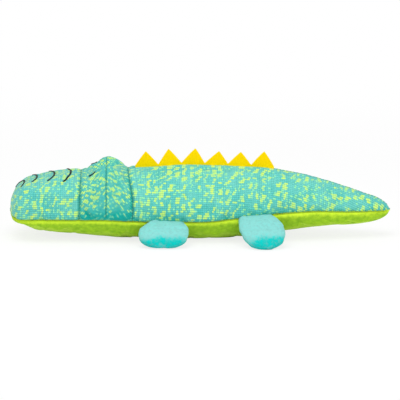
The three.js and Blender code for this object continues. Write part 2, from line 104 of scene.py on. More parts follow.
# Distances from the side seam between which a head seam passes from the flank to the back
FLANK_TO_BACK = (0.03, 0.055)

# Stations of a foot from its sewn root to its toe: place along the length, lowest and highest
# point of the thickness, half width of the widest, and squareness of the section
FOOT_STATIONS = np.array([
    (0, 0.42, 0.58, 0.7, 2.6),
    (0.035, 0.36, 0.64, 0.73, 2.6),
    (0.12, 0.27, 0.73, 0.83, 2.6),
    (0.28, 0.13, 0.87, 0.96, 2.5),
    (0.48, 0.02, 0.98, 1, 2.4),
    (0.68, 0, 1, 0.95, 2.4),
    (0.84, 0.06, 0.94, 0.79, 2.3),
    (0.94, 0.19, 0.81, 0.54, 2.2),
    (0.985, 0.34, 0.66, 0.28, 2.1),
    (1, 0.5, 0.5, 0, 2),
])

# Folds pressed into the stuffed body on one side (-1 is the left): start and end as places along
# X and up Z, with depth and half width
BODY_FOLDS = (
    (-1, -0.1185, 0.041, -0.1095, 0.0262, 0.0012, 0.0022),
    (-1, -0.1175, 0.032, -0.1045, 0.0258, 0.0007, 0.002),
    (1, -0.1185, 0.043, -0.110, 0.0262, 0.001, 0.0022),
    (-1, 0.060, 0.0575, 0.0695, 0.0365, 0.0006, 0.0028),
    (-1, 0.067, 0.053, 0.0765, 0.039, 0.0004, 0.0022),
    (1, 0.041, 0.058, 0.049, 0.037, 0.0006, 0.0028),
    (-1, 0.1265, 0.0305, 0.1275, 0.019, 0.0009, 0.0016),
    (-1, 0.1215, 0.028, 0.1225, 0.019, 0.0004, 0.0016),
    (1, 0.118, 0.0305, 0.1165, 0.019, 0.0009, 0.0016),
)

# Each head seam from snout to neck, beside the body's sizes: how deep it draws in, how much of that
# is left over the back, how high the cloth rolls up behind it, how far behind it the roll is highest,
# how deep its shade is and how far that reaches
CROSS_SEAMS = (
    (1.1, 0.15, 0.9, 0.0024, 0.9, 0.0015),
    (0.45, 1.0, 0.1, 0.0024, 0.3, 0.001),
    (1.15, 0.5, 0.9, 0.0038, 1.0, 0.0016),
)

# Each spike: where its tip stands in its own pitch, and how tall it is beside the tallest
SPIKES = ((0.46, 0.95), (0.44, 1), (0.6, 1), (0.62, 0.84), (0.56, 0.86), (0.57, 0.98))

# Each embroidered arc: its piece, where its tip is on the length, how far its left and its right
# end sweep forwards, and how far each reaches to its side
ARCS = (
    ("nose_stitch", -0.1753, 0.003, 0.009, 0.0135, 0.0175),
    ("snout_stitch_front", -0.1628, 0.0048, 0.0048, 0.0135, 0.015),
    ("snout_stitch_middle", -0.1453, 0.0066, 0.0055, 0.0185, 0.017),
    ("snout_stitch_rear", -0.129, 0.0074, 0.0042, 0.022, 0.018),
)

# Each embroidered eye: its piece, and its front and rear end in plan
EYES = (
    ("eye_stitch_left", (-0.1102, -0.0221), (-0.1043, -0.0241)),
    ("eye_stitch_right", (-0.1087, 0.0215), (-0.103, 0.0232)),
)

# Each pair of feet: its name, length, width, how far its toe leans back, how far back its root sits
# and how much wider its root is than a common foot's
FEET = (
    ("front_foot", 0.0312, 0.0505, 0.0005, 0.003, 0.02),
    ("rear_foot", 0.0408, 0.0432, 0.0055, -0.0006, 0.14),
)

# Each woven panel: its seed, how coarse its pattern is, how much of that there is, how dark the painted shade
# in the grooves between its rows of yarn is, how shaded it is all over, how much more low down, and how much
# more at the neck
PANEL_CLOTH = {
    "snout_panel": (1.0, 1.0, 0.9, 0.3, 0, 0.05, 0),
    "brow_front_panel": (2.0, 0.66, 0.78, 0.42, 0.24, 0.75, 0),
    "brow_rear_panel": (6.0, 0.72, 0.78, 0.42, 0.3, 0.85, 0.4),
    "back_panel_right": (4.0, 1.0, 0.84, 0.3, 0, 0.35, 0),
    "back_panel_left": (5.0, 1.0, 0.84, 0.3, 0, 0.35, 0),
}

SIM_STEP = 3  # every third ring and column of the skin takes part in the cloth simulation
SIM_REACH = 0.004  # how far the simulation may move a point
SIM_FRAMES = 20  # how long the simulation runs
PUFF = 0.0011  # how far what is kept of it may raise the cloth
HELD = 0.0012  # how close to a seam the cloth is held down by it
BODY_FILL, FOOT_FILL = 0.9, 0.7  # how tightly the body and the feet are stuffed
STACK_SPACING, STACK_HEIGHT, DASH = 0.0072, 0.0105, 0.0038  # the cloth's pattern where it isn't finer
LEFT, RIGHT = -1, 1


# Sizes and colours that a user may change

def number(name, description, default, **limits):
    return FloatProperty(name=name, description=description, default=default, **limits)


def metres(name, description, default):
    """A length, which can't go below a tenth of its default."""
    return number(name, description, default, min=default / 10, unit="LENGTH")


def offset(name, description, default):
    """A length that may go either way."""
    return number(name, description, default, unit="LENGTH")


def fraction(name, description, default):
    return number(name, description, default, min=0, max=1, subtype="FACTOR")


def dye(name, description, default):
    """A colour as linear red, green and blue."""
    return FloatVectorProperty(name=name, description=description, default=default, size=3, min=0, max=1,
                               subtype="COLOR")


class BodySizes(bpy.types.PropertyGroup):
    """Sizes of the stuffed body and of the sewing that draws it in"""
    length: metres("Length", "Nose to tail", 0.38)
    height: metres("Height", "Belly to back", 0.072)
    half_width: metres("Half width", "Middle to side", 0.042)
    rest_depth: metres("Rest depth", "How far the belly is pressed flat", 0.0005)
    ring_step: metres("Ring step", "Distance between rings of the skin", 0.00145)
    seam_depth: metres("Seam depth", "How deep a seam draws the cloth in", 0.0017)
    seam_width: metres("Seam width", "How far a seam's crease reaches", 0.0016)
    roll_height: metres("Roll height", "How far the cloth rolls up beside a head seam", 0.0009)
    ridge: metres("Ridge", "How far the spine seam stands up", 0.0006)
    ridge_drawn_up: metres("Ridge drawn up", "How much more it stands up at the spikes", 0.0016)
    ridge_sharpness: fraction("Ridge sharpness", "How much less square the back is above its middle", 0.55)
    side_roll: metres("Side roll", "How far the woven cloth rolls over the side seam", 0.0006)
    plush_roll: metres("Plush roll", "How far the plush rolls up under the side seam", 0.0015)
    pucker_height: metres("Pucker height", "Height of the puckers along a seam", 0.0005)
    pucker_length: metres("Pucker length", "Distance between puckers along a seam", 0.006)
    lump_height: metres("Lump height", "Height of the stuffing's soft lumps", 0.0006)
    cloth_thickness: metres("Cloth thickness", "Thickness of cloth and plush", 0.001)
    turn_in: metres("Turn-in", "How far each panel's edge is turned into the seam", 0.0028)
    stretch: fraction("Stretch", "How much the woven cloth is stretched over the back", 0.4)
    stretch_reach: metres("Stretch reach", "How far down from the spine the stretch goes", 0.026)
    filling_depth: metres("Filling depth", "How deep under the skin the filling starts", 0.0042)


class HeadSizes(bpy.types.PropertyGroup):
    """Places of the head's cross seams and sizes of the eye bumps"""
    snout_seam: fraction("Snout seam", "Share of the length", 0.184)
    brow_seam: fraction("Brow seam", "Share of the length", 0.2542)
    neck_seam: fraction("Neck seam", "Share of the length", 0.3174)
    snout_seam_lean: offset("Snout seam lean", "How far it leans back from belly to back", 0.003)
    neck_seam_bow: offset("Neck seam bow", "How far it bows forwards over the back", 0.003)
    neck_seam_swell: offset("Neck seam swell", "How far it bows back on the flanks", 0.0026)
    seam_reach: metres("Seam reach", "How far a leaning seam takes the cloth with it", 0.012)
    brow_height: metres("Brow height", "Height of the eye bumps", 0.014)
    brow_spacing: metres("Brow spacing", "Between the two bumps", 0.052)
    brow_half_width: metres("Brow half width", "Half width of a bump", 0.02)
    brow_front_reach: metres("Brow front reach", "Length of a bump's front slope", 0.025)
    brow_flat: metres("Brow flat", "Length of a bump's flat top behind its seam", 0.0015)
    brow_rear_reach: metres("Brow rear reach", "Length of a bump's rear slope", 0.021)


class SpikeSizes(bpy.types.PropertyGroup):
    """Sizes of the felt spike strip"""
    thickness: metres("Thickness", "Felt thickness", 0.002)
    start: fraction("Start", "Share of the length where the strip starts", 0.3295)
    length: metres("Length", "Length of the strip", 0.139)
    band: metres("Band", "Height of the strip between two spikes", 0.0018)
    height: metres("Height", "Height of the tallest spike", 0.0166)
    tip_radius: metres("Tip radius", "Roundness of a tip", 0.0008)
    bulge: fraction("Bulge", "How far a spike's edges bulge, beside its height", 0.035)
    sunk: metres("Sunk", "How deep the strip is caught in the seam", 0.0022)
    sway: metres("Sway", "How far the felt waves from side to side", 0.0009)


class FootSizes(bpy.types.PropertyGroup):
    """Sizes of the padded feet"""
    thickness: metres("Thickness", "Thickness of the stuffed foot", 0.013)
    cloth_thickness: metres("Cloth thickness", "Thickness of the plush", 0.0007)
    droop: number("Droop", "How far a foot droops below level", math.radians(42), subtype="ANGLE")
    tuck: metres("Tuck", "How deep the root is caught in the side seam", 0.0022)
    sag: metres("Sag", "How far the root sags below the side seam", 0.0012)
    fold: metres("Fold", "How far from the seam the foot folds", 0.006)
    seam_depth: metres("Seam depth", "How deep the edge seam draws in", 0.0011)
    turn_in: metres("Turn-in", "How far each piece's edge is turned into the seam", 0.0012)
    filling_depth: metres("Filling depth", "How deep under the cloth the filling starts", 0.0026)
    rings: IntProperty(name="Rings", description="Rings from root to toe", default=48, min=12)
    columns: IntProperty(name="Columns", description="Columns across the top or sole", default=42, min=12)


class ThreadSizes(bpy.types.PropertyGroup):
    """Sizes of the embroidery and of the stitches in the seams"""
    strand: metres("Strand", "Thickness of one strand", 0.00036)
    spacing: metres("Spacing", "Distance between satin strands", 0.00024)
    arc_width: metres("Arc width", "Width of an embroidered arc", 0.0019)
    eye_width: metres("Eye width", "Width of an embroidered eye", 0.0027)
    off_centre: offset("Off centre", "How far the arcs sit to one side", -0.004)
    stitch: metres("Stitch", "Length of one seam stitch", 0.0022)
    stitch_step: metres("Stitch step", "Distance between seam stitches", 0.0034)
    sewing_thread: metres("Sewing thread", "Thickness of the thread in the seams", 0.00045)


class PileSizes(bpy.types.PropertyGroup):
    """Sizes of the plush pile that stands up along the side seams"""
    length: metres("Length", "Length of one fibre", 0.0022)
    fibre: metres("Fibre", "Thickness of one fibre", 0.00028)
    spacing: metres("Spacing", "Distance between fibres", 0.00036)


class ClothColours(bpy.types.PropertyGroup):
    """Colours of the cloths, as linear red, green and blue"""
    teal: dye("Teal", "Ground of the woven cloth", (0.154, 0.655, 0.56))
    teal_deep: dye("Deep teal", "Darker yarns of the woven cloth", (0.09, 0.58, 0.515))
    teal_pale: dye("Pale teal", "Paler warps of the woven cloth", (0.25, 0.72, 0.655))
    teal_shade: dye("Shaded teal", "Woven cloth deep in a crease", (0.0, 0.43, 0.37))
    lime: dye("Lime", "Pattern of the woven cloth", (0.59, 0.81, 0.1))
    lime_pale: dye("Pale lime", "Paler floats of the woven cloth", (0.32, 0.77, 0.29))
    belly: dye("Belly plush", "Plush of the belly", (0.43, 0.69, 0.03))
    belly_deep: dye("Deep belly plush", "Between the tufts of the belly plush", (0.22, 0.46, 0.02))
    # Painted light: the plush on faces that look down is made paler, as if lit from below
    belly_under: dye("Belly plush underneath", "Where the toy has lain on it", (0.62, 0.86, 0.1))
    # The raised pile is paler than the plush, and partly a painted highlight
    belly_edge: dye("Belly plush edge", "Raised pile along the side seam", (0.61, 0.84, 0.04))
    # Deep foot plush is painted shade, round the toe and on the sole
    foot: dye("Foot plush", "Brushed crown of the foot plush", (0.245, 0.65, 0.615))
    foot_deep: dye("Deep foot plush", "Opened pile round the toe", (0.0015, 0.54, 0.5))
    felt: dye("Felt", "Felt of the spikes", (0.98, 0.665, 0.002))
    thread: dye("Thread", "Embroidery thread", (0.006, 0.02, 0.017))
    seam_thread: dye("Seam thread", "Sewing thread", (0.004, 0.27, 0.25))
    fibre: dye("Fibre", "Filling fibre", (0.86, 0.86, 0.84))


class StageSettings(bpy.types.PropertyGroup):
    """Camera, light and floor"""
    distance: metres("Distance", "Camera to toy", 6.0)
    elevation: number("Elevation", "Camera above the horizon", math.radians(12), subtype="ANGLE")
    view_width: metres("View width", "Width of the picture at the toy", 0.4)
    aim_height: offset("Aim height", "Height of the picture's middle", 0.0366)
    sky: number("Sky", "Strength of the light from all round", 0.64, min=0)
    key: number("Key light", "Power of the large lamp overhead", 14, min=0, unit="POWER")
    fill: number("Fill light", "Power of the lamp beside the camera", 7, min=0, unit="POWER")


def sizes(name):
    """One of this scene's groups of sizes or colours."""
    return getattr(bpy.context.scene, "croc_" + name)


# Curves, noise and grids

def smooth_at(rows, places, wraps=False):
    """Values of a smooth curve through the rows, at places counted in rows."""
    rows = np.asarray(rows, float)
    if wraps:
        padded = np.concatenate([rows[-1:], rows, rows[:2]])
        last = len(rows) - 1
    else:
        padded = np.concatenate([2 * rows[:1] - rows[1:2], rows, 2 * rows[-1:] - rows[-2:-1]])
        last = len(rows) - 2
    places = np.asarray(places, float)
    index = np.clip(places.astype(int), 0, last)
    f = (places - index).reshape(places.shape + (1,) * (rows.ndim - 1))
    a, b, c, d = (padded[index + k] for k in range(4))
    return b + 0.5 * f * (c - a + f * (2 * a - 5 * b + 4 * c - d + f * (3 * (b - c) + d - a)))


def smoothstep(value, low, high):
    """0 up to low, 1 from high on, and a smooth rise between them."""
    f = np.clip((value - low) / (high - low), 0, 1)
    return f * f * (3 - 2 * f)


def fading(distance, reach):
    """1 at a line, with a sharp peak there that fades away on both sides."""
    return np.exp(-np.abs(distance) / reach)


def hump(distance, width):
    """1 at a line, with a round top there that fades away on both sides."""
    return np.exp(-(distance / width) ** 2)


def roll(distance, width):
    """0 at a line, 1 at the given width from it, and fading away beyond."""
    return distance / width * np.exp(1 - distance / width)


def lumps(points, size, seed):
    """Soft noise at each point, from -1 to 1, with lumps of the given size."""
    flat = points.reshape(-1, 3) / size + np.array([seed, 2.3 * seed, -1.7 * seed])
    values = [noise.noise(Vector(p)) for p in flat]
    return np.array(values).reshape(points.shape[:-1])


def ripples(along, length, seed):
    """Uneven puckers along a seam, from -1 to 1."""
    flat = np.ravel(along) / length
    values = [noise.noise(Vector((s, seed, 0.37 * seed))) for s in flat]
    return np.clip(2.2 * np.array(values), -1, 1).reshape(np.shape(along))


def section_reach(angles, half_width, half_height, square):
    """How far a section reaches from its middle. Squareness 2 is an ellipse, and more is boxier."""
    cosine = np.abs(np.cos(angles) / half_width) ** square
    sine = np.abs(np.sin(angles) / half_height) ** square
    return (cosine + sine) ** (-1 / square)


def normals_of(points):
    """Outward normals of a grid of rings and columns whose columns run all the way round."""
    along = np.gradient(points, axis=0)
    around = np.roll(points, -1, axis=1) - np.roll(points, 1, axis=1)
    normal = np.cross(around, along)
    size = np.linalg.norm(normal, axis=2, keepdims=True)
    return normal / np.maximum(size, 1e-12)


def running_length(points, axis=0):
    """Distance run along a line or a grid of points, from its start."""
    steps = np.linalg.norm(np.diff(points, axis=axis), axis=-1)
    start = np.zeros_like(steps.take([0], axis=axis))
    return np.concatenate([start, np.cumsum(steps, axis=axis)], axis=axis)


def length_round(points):
    """Distance run round each ring of a grid, with one more column for the whole way round."""
    return running_length(np.concatenate([points, points[:, :1]], axis=1), 1)


def points_at(places, run, line):
    """Points of a line at distances run along it."""
    return np.stack([np.interp(places, run, line[:, k]) for k in range(3)], axis=1)


def faces_round(rings, columns):
    """Faces of a grid whose columns run all the way round, as numbers of its points."""
    return [(r * columns + c, r * columns + (c + 1) % columns,
             (r + 1) * columns + (c + 1) % columns, (r + 1) * columns + c)
            for r in range(rings - 1) for c in range(columns)]


def blurred(values, times=3):
    """Values of a grid that wraps round its columns, blurred several times."""
    weights = np.hanning(9)[1:-1] / np.hanning(9)[1:-1].sum()
    reach = len(weights) // 2
    for _ in range(times):
        rows = np.pad(values, ((reach, reach), (0, 0)), mode="reflect")
        values = sum(w * rows[k:k + len(values)] for k, w in enumerate(weights))
        values = sum(w * np.roll(values, k - reach, axis=1) for k, w in enumerate(weights))
    return values


# The stuffed body

class Skin:
    """The stuffed body's surface, as a grid of rings from nose to tail and columns round each ring.

    Columns run from the right side seam over the back to the left one, and home under the belly."""

    upper_columns = SIM_STEP * 36
    lower_columns = SIM_STEP * 20

    def __init__(self):
        self.body = sizes("body")
        self.head = sizes("head")
        self.spine = self.upper_columns // 2
        self.left_seam = self.upper_columns
        self.columns = self.upper_columns + self.lower_columns
        self.seams = [(share - 0.5) * self.body.length
                      for share in (self.head.snout_seam, self.head.brow_seam, self.head.neck_seam)]
        self.make_rings()
        self.make_columns()
        self.form = self.shaped(self.ring_places[:, None], self.angles)
        self.measure()
        relief = self.relief()
        rise = relief + self.puffed(relief)
        self.cavity = smoothstep(blurred(rise) - rise, 0.0001, 0.0016)
        self.points = self.form + rise[..., None] * self.normals
        z = self.points[..., 2]
        self.points[..., 2] = np.maximum(z, 0.15 * np.minimum(z, 0) + 0.00005)
        self.normals = self.fixed_poles(normals_of(self.points))

    def section(self, places):
        """Each section's x, centre, half height, half width, squareness below and above its middle, and
        seam angle."""
        values = smooth_at(BODY_STATIONS, places * (len(BODY_STATIONS) - 1))
        at, low, high, seam, half, square = np.moveaxis(values, -1, 0)
        body = self.body
        low = low * body.height - body.rest_depth
        high = high * body.height - body.rest_depth
        centre = (low + high) / 2
        half_height = np.maximum((high - low) / 2, 1e-7)
        half_width = np.maximum(half * body.half_width, 1e-7)
        start, full, fade = RIDGE_SHARES
        ridge = body.ridge_sharpness * smoothstep(at, start, full) * (1 - smoothstep(at, fade, 1))
        above = seam * body.height - body.rest_depth - centre
        up = np.clip(np.abs(above) / half_height, 0, 1)
        across = half_width * (1 - up ** square) ** (1 / square)
        x = (at - 0.5) * body.length
        return x, centre, half_height, half_width, square, square - ridge, np.arctan2(above, across)

    def reach(self, section, angles):
        """How far a section reaches from its centre at each angle."""
        _, _, half_height, half_width, lower, upper, _ = section
        return section_reach(angles, half_width, half_height, np.where(np.sin(angles) > 0, upper, lower))

    def shaped(self, places, angles):
        """Points of the form at places along it and angles round it."""
        section = self.section(places)
        radius = self.reach(section, angles)
        y = radius * np.cos(angles)
        z = section[1] + radius * np.sin(angles)
        x = np.broadcast_to(section[0], y.shape)
        rise = self.brow_rise(x, y) * smoothstep(np.sin(angles), 0, 0.5)
        return np.stack([x + self.seam_shift(x, z), y, z + rise], axis=-1)

    def brow_rise(self, x, y):
        """How high the eye bumps raise the cloth."""
        head = self.head
        ahead = self.seams[1] - x
        forward = np.clip(ahead / head.brow_front_reach, 0, 1)
        front = 0.6 * (0.5 + 0.5 * np.cos(math.pi * forward)) + 0.4 * (1 - forward)
        backward = (-ahead - head.brow_flat) / (head.brow_rear_reach - head.brow_flat)
        rear = 1 - np.clip(backward, 0, 1) ** 1.25
        aside = (np.abs(y) - head.brow_spacing / 2) / head.brow_half_width
        across = np.cos(math.pi / 2 * np.clip(aside, -1, 1)) ** 2
        return head.brow_height * np.where(ahead > 0, front, rear) * across

    def seam_shift(self, x, z):
        """How far the snout and neck seams lean and bow, and take the sections beside them along."""
        head, height = self.head, self.body.height
        up = z / height
        snout = head.snout_seam_lean * (up - 0.5)
        neck = (head.neck_seam_swell * 4 * up * (1 - up)
                - head.neck_seam_bow * (2 * up - 1) * smoothstep(z, height / 2, height))
        return (snout * hump(x - self.seams[0], head.seam_reach)
                + neck * hump(x - self.seams[2], head.seam_reach))

    def make_rings(self):
        """Places of the rings, evenly apart along the skin, with one ring on each cross seam."""
        fine = np.linspace(0, 1, 3001)
        lines = [self.shaped(fine, np.full(len(fine), angle)) for angle in (0, math.pi / 2, -math.pi / 2)]
        run = sum(running_length(line) for line in lines) / len(lines)
        marks = [0, *np.interp(self.seams, self.section(fine)[0], run), run[-1]]
        places, self.cross_rings = [0.0], []
        for start, end in zip(marks, marks[1:]):
            count = SIM_STEP * math.ceil((end - start) / self.body.ring_step / SIM_STEP)
            places.extend(np.interp(np.linspace(start, end, count + 1)[1:], run, fine))
            self.cross_rings.append(len(places) - 1)
        self.cross_rings.pop()
        self.ring_places = np.array(places)

    def make_columns(self):
        """Angles of the columns, evenly apart round each ring, with one on each lengthwise seam."""
        seam = self.section(self.ring_places)[-1]
        right = self.even_angles(seam, math.pi / 2, self.spine)
        lower = self.even_angles(math.pi - seam, 1.5 * math.pi, self.lower_columns // 2)
        self.angles = np.concatenate([
            right, math.pi - right[:, -2::-1], lower[:, 1:], 3 * math.pi - lower[:, -2:0:-1]], axis=1)

    def even_angles(self, start, end, count):
        """Angles from start to end on every ring that are evenly apart along the cloth."""
        angles = start[:, None] + (end - start)[:, None] * np.linspace(0, 1, 81)
        radius = self.reach([values[:, None] for values in self.section(self.ring_places)], angles)
        run = running_length(np.stack([radius * np.cos(angles), radius * np.sin(angles)], axis=-1), 1)
        even = np.linspace(0, 1, count + 1)
        return np.array([np.interp(even * r[-1], r, a) for r, a in zip(run, angles)])

    def fixed_poles(self, normals):
        normals[0] = (-1, 0, 0)
        normals[-1] = (1, 0, 0)
        return normals

    def measure(self):
        """Normals, and distances along the cloth from every seam."""
        self.normals = self.fixed_poles(normals_of(self.form))
        self.along = running_length(self.form)
        around = length_round(self.form)
        whole, around = around[:, -1:], around[:, :-1]
        self.around = around
        self.from_left = np.abs(around - around[:, self.left_seam, None])
        self.from_right = np.minimum(around, whole - around)
        self.side = np.minimum(self.from_left, self.from_right)
        self.from_spine = around - around[:, self.spine, None]
        self.from_cross = [self.along - self.along[ring] for ring in self.cross_rings]
        self.upper = np.zeros(self.form.shape[:2], bool)
        self.upper[:, :self.upper_columns + 1] = True
        self.back = self.upper & (np.arange(len(self.form)) >= self.cross_rings[-1])[:, None]
        half_height, half_width = self.section(self.ring_places)[2:4]
        self.radius = np.minimum(half_height, half_width)[:, None]
        self.slimness = smoothstep(self.radius, 0.001, 0.012)

    def pucker(self, distance, along, reach, seed):
        """Puckers that start a little way from a seam and fade away from it."""
        body = self.body
        fade = fading(distance, reach) * (1 - fading(distance, HELD))
        return body.pucker_height * ripples(along, body.pucker_length, seed) * fade

    def relief(self):
        """How far the seams, puckers, rolls, folds and lumps raise the skin."""
        body, side, x = self.body, self.side, self.form[..., 0]
        crease = fading(side, body.seam_width)
        relief = sum(self.pucker(distance, self.along, 0.006, seed)
                     for distance, seed in ((self.from_left, 3.1), (self.from_right, 7.7)))
        relief *= np.where(self.upper, 1.0, 0.6)
        over = smoothstep(side, *FLANK_TO_BACK)
        self.seam_shade = 0.0
        for number, (distance, values) in enumerate(zip(self.from_cross, CROSS_SEAMS)):
            depth, left_over, rolled, width, shade, reach = values
            drawn = depth * (1 - (1 - left_over) * over) * fading(distance, body.seam_width)
            crease = np.maximum(crease, np.where(self.upper, drawn, 0))
            self.seam_shade = np.maximum(self.seam_shade, shade * (1 - 0.6 * over) * hump(distance, reach))
            behind = np.where(distance > 0, 1 - over, 0.3 * (1 - over))
            lip = rolled * body.roll_height * behind * roll(np.abs(distance), width)
            puckers = self.pucker(distance, self.around, 0.007, 11.3 + number)
            relief += np.where(self.upper, lip * smoothstep(side, 0, 0.006) + puckers, 0)
        spine = np.abs(self.from_spine)
        crease = np.maximum(crease, np.where(self.back, 0.3 * fading(spine, body.seam_width), 0))
        start, full, fade, end = DRAWN_UP
        at_spikes = smoothstep(x, start, full) * (1 - smoothstep(x, fade, end))
        ridge = (body.ridge + body.ridge_drawn_up * at_spikes) * hump(spine, 0.01)
        relief += np.where(self.back, ridge + 0.4 * self.pucker(spine, self.along, 0.005, 17.9), 0)
        relief -= body.seam_depth * crease
        snout, _, neck = self.seams
        brows = smoothstep(x, snout - 0.002, snout + 0.004) * (1 - smoothstep(x, neck - 0.004, neck + 0.002))
        above = body.side_roll * (1 + 0.8 * brows) * roll(side, 0.006)
        from_ends = np.minimum(self.along, self.along[-1:] - self.along)
        below = smoothstep(from_ends, 0.01, 0.035) * body.plush_roll * roll(side, 0.0024)
        relief += np.where(self.upper, above, below)
        lumpy = body.lump_height * smoothstep(side, 0.002, 0.012) * np.where(self.upper, 1.0, 0.3)
        relief += lumpy * (lumps(self.form, 0.03, 1.0) + 0.4 * lumps(self.form, 0.013, 5.0))
        relief += self.folds()
        return relief * self.slimness

    def folds(self):
        """The few folds that the stuffing has pressed into the cloth."""
        pressed = np.zeros(self.form.shape[:2])
        x, y, z = np.moveaxis(self.form, -1, 0)
        for side, x0, z0, x1, z1, depth, width in BODY_FOLDS:
            dx, dz = x1 - x0, z1 - z0
            run = np.clip(((x - x0) * dx + (z - z0) * dz) / (dx * dx + dz * dz), 0, 1)
            across = np.hypot(x - x0 - run * dx, z - z0 - run * dz)
            taper = np.sin(math.pi * run) ** 0.5
            shape = hump(across, width) - 0.45 * hump(across - 2.2 * width, width)
            pressed -= np.where(y * side > 0, depth * taper * shape, 0)
        return pressed

    def puffed(self, relief):
        """Wrinkles and puffs of the cloth simulation: slack cloth, sewn at the seams, under pressure.

        The form is already the stuffed one, so only what differs from the cloth's mean rise is kept."""
        part = (slice(None, None, SIM_STEP), slice(None, None, SIM_STEP))
        normals = self.normals[part]
        start = self.form[part] + relief[part][..., None] * normals
        rings, columns = start.shape[:2]
        sewn = {ring // SIM_STEP for ring in self.cross_rings}
        spine, left = self.spine // SIM_STEP, self.left_seam // SIM_STEP
        pins = [ring * columns + column
                for ring in range(rings) for column in range(columns)
                if column in (0, left) or ring in (0, rings - 1)
                or (ring in sewn and column <= left) or (column == spine and ring > max(sewn))]
        rise = (simulate_cloth(start, pins, slack=0.035, pressure=4.0) * normals).sum(axis=2)
        rise = rise - blurred(rise)
        rise = smooth_at(rise, np.arange(len(self.form)) / SIM_STEP)
        rise = smooth_at(rise.T, np.arange(self.columns) / SIM_STEP, wraps=True).T
        free = np.where(self.back, smoothstep(np.abs(self.from_spine), 0.001, 0.016), 1.0)
        free = free * smoothstep(np.abs(self.from_cross[1]), 0.0005, 0.012)
        most = PUFF * free * np.where(self.upper, 1.0, 0.35) + 0.0001
        return most * np.tanh(rise / most) * self.slimness


def simulate_cloth(start, pins, slack, pressure):
    """Runs a closed grid of cloth under pressure and returns how far each point moved."""
    mesh = bpy.data.meshes.new("cloth_under_pressure")
    mesh.from_pydata(start.reshape(-1, 3).tolist(), [], faces_round(*start.shape[:2]))
    obj = add_object("cloth_under_pressure", mesh)
    sewn = obj.vertex_groups.new(name="sewn")
    sewn.add(pins, 1.0, "REPLACE")
    cloth = obj.modifiers.new("Cloth", "CLOTH")
    settings = cloth.settings
    settings.quality = 6
    settings.mass = 0.2
    settings.vertex_group_mass = sewn.name
    settings.use_pressure = True
    settings.uniform_pressure_force = pressure
    settings.shrink_min = -slack
    settings.bending_stiffness = 0.4
    settings.effector_weights.gravity = 0
    cloth.collision_settings.use_collision = False
    cloth.collision_settings.use_self_collision = False
    scene = bpy.context.scene
    for frame_number in range(1, SIM_FRAMES + 1):
        scene.frame_set(frame_number)
    evaluated = obj.evaluated_get(bpy.context.evaluated_depsgraph_get()).to_mesh()
    moved = np.empty(len(evaluated.vertices) * 3)
    evaluated.vertices.foreach_get("co", moved)
    moved = moved.reshape(start.shape) - start
    bpy.data.objects.remove(obj)
    bpy.data.meshes.remove(mesh)
    scene.frame_set(1)
    reach = np.linalg.norm(moved, axis=2, keepdims=True)
    return moved * (SIM_REACH * np.tanh(reach / SIM_REACH) / np.maximum(reach, 1e-9))


@functools.cache
def skin():
    return Skin()


@functools.cache
def skin_tree():
    """A search tree of the finished skin, for what lies on it."""
    points = skin().points
    return BVHTree.FromPolygons(points.reshape(-1, 3).tolist(), faces_round(*points.shape[:2]))


# Meshes and pieces

def add_object(name, data):
    obj = bpy.data.objects.new(name, data)
    bpy.context.scene.collection.objects.link(obj)
    return obj


def add_piece(name, mesh, material):
    mesh.name = name
    mesh.materials.append(material)
    return add_object(name, mesh)


def stand_for(obj, node, fill=None):
    """Hides the part of model.glb that a piece replaces. fill, how full it is stuffed, is not used."""
    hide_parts(node)


def add_filling(name, points, body, node, fill):
    """Loose fibre in the space of a grid of points."""
    obj = add_piece(name, closed_mesh(points), loose_fibre())
    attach(obj, body)
    stand_for(obj, node, fill)


def smooth_mesh(bm):
    """Turns a finished bmesh into a mesh with smooth faces."""
    mesh = bpy.data.meshes.new("smooth")
    bm.to_mesh(mesh)
    bm.free()
    mesh.polygons.foreach_set("use_smooth", [True] * len(mesh.polygons))
    return mesh


def where(vert):
    """A vertex's place as a key, by which it is found again after its neighbours change."""
    return vert.co.copy().freeze()


def panel_mesh(points, normals, flat, turn_in, shade):
    """A patch of cloth with its edges turned in.

    flat holds each point's place in the flat cloth, turn_in how far an edge there is turned in, and
    shade the value that the cloth's material reads there."""
    rows, columns = points.shape[:2]
    bm = bmesh.new()
    layer = bm.loops.layers.uv.new("Cloth")
    value = bm.verts.layers.float.new("rim")
    verts, known = {}, {}
    for at in np.ndindex(rows, columns):
        verts[at] = bm.verts.new(points[at])
        verts[at][value] = shade[at]
        known[where(verts[at])] = (Vector(normals[at]), flat[at], float(turn_in[at]))
    for r, c in np.ndindex(rows - 1, columns - 1):
        corners = ((r, c), (r, c + 1), (r + 1, c + 1), (r + 1, c))
        face = bm.faces.new([verts[corner] for corner in corners])
        for loop, corner in zip(face.loops, corners):
            loop[layer].uv = flat[corner]
    bmesh.ops.remove_doubles(bm, verts=bm.verts, dist=1e-6)
    edges = [edge for edge in bm.edges if edge.is_boundary]
    rim = {vert for edge in edges for vert in edge.verts}
    aside = {}
    for vert in rim:
        inside = [edge.other_vert(vert) for edge in vert.link_edges if edge.other_vert(vert) not in rim]
        side = sum(((other.co - vert.co).normalized() for other in inside), Vector())
        side -= side.project(known[where(vert)][0])
        aside[where(vert)] = side.normalized() if side.length > 1e-9 else Vector()
    origin = {vert: where(vert) for vert in rim}
    for deep, share in ((0.35, 0.03), (1.0, 0.22)):
        made = bmesh.ops.extrude_edge_only(bm, edges=edges)["geom"]
        source = {where(vert): key for vert, key in origin.items()}
        origin = {vert: source[where(vert)] for vert in made if isinstance(vert, bmesh.types.BMVert)}
        for face in (item for item in made if isinstance(item, bmesh.types.BMFace)):
            for loop in face.loops:
                loop[layer].uv = known[source[where(loop.vert)]][1]
        for vert, key in origin.items():
            out, _, turned = known[key]
            vert.co = Vector(key) - deep * turned * out + share * turned * aside[key]
        edges = [item for item in made if isinstance(item, bmesh.types.BMEdge) and item.is_boundary]
    return smooth_mesh(bm)


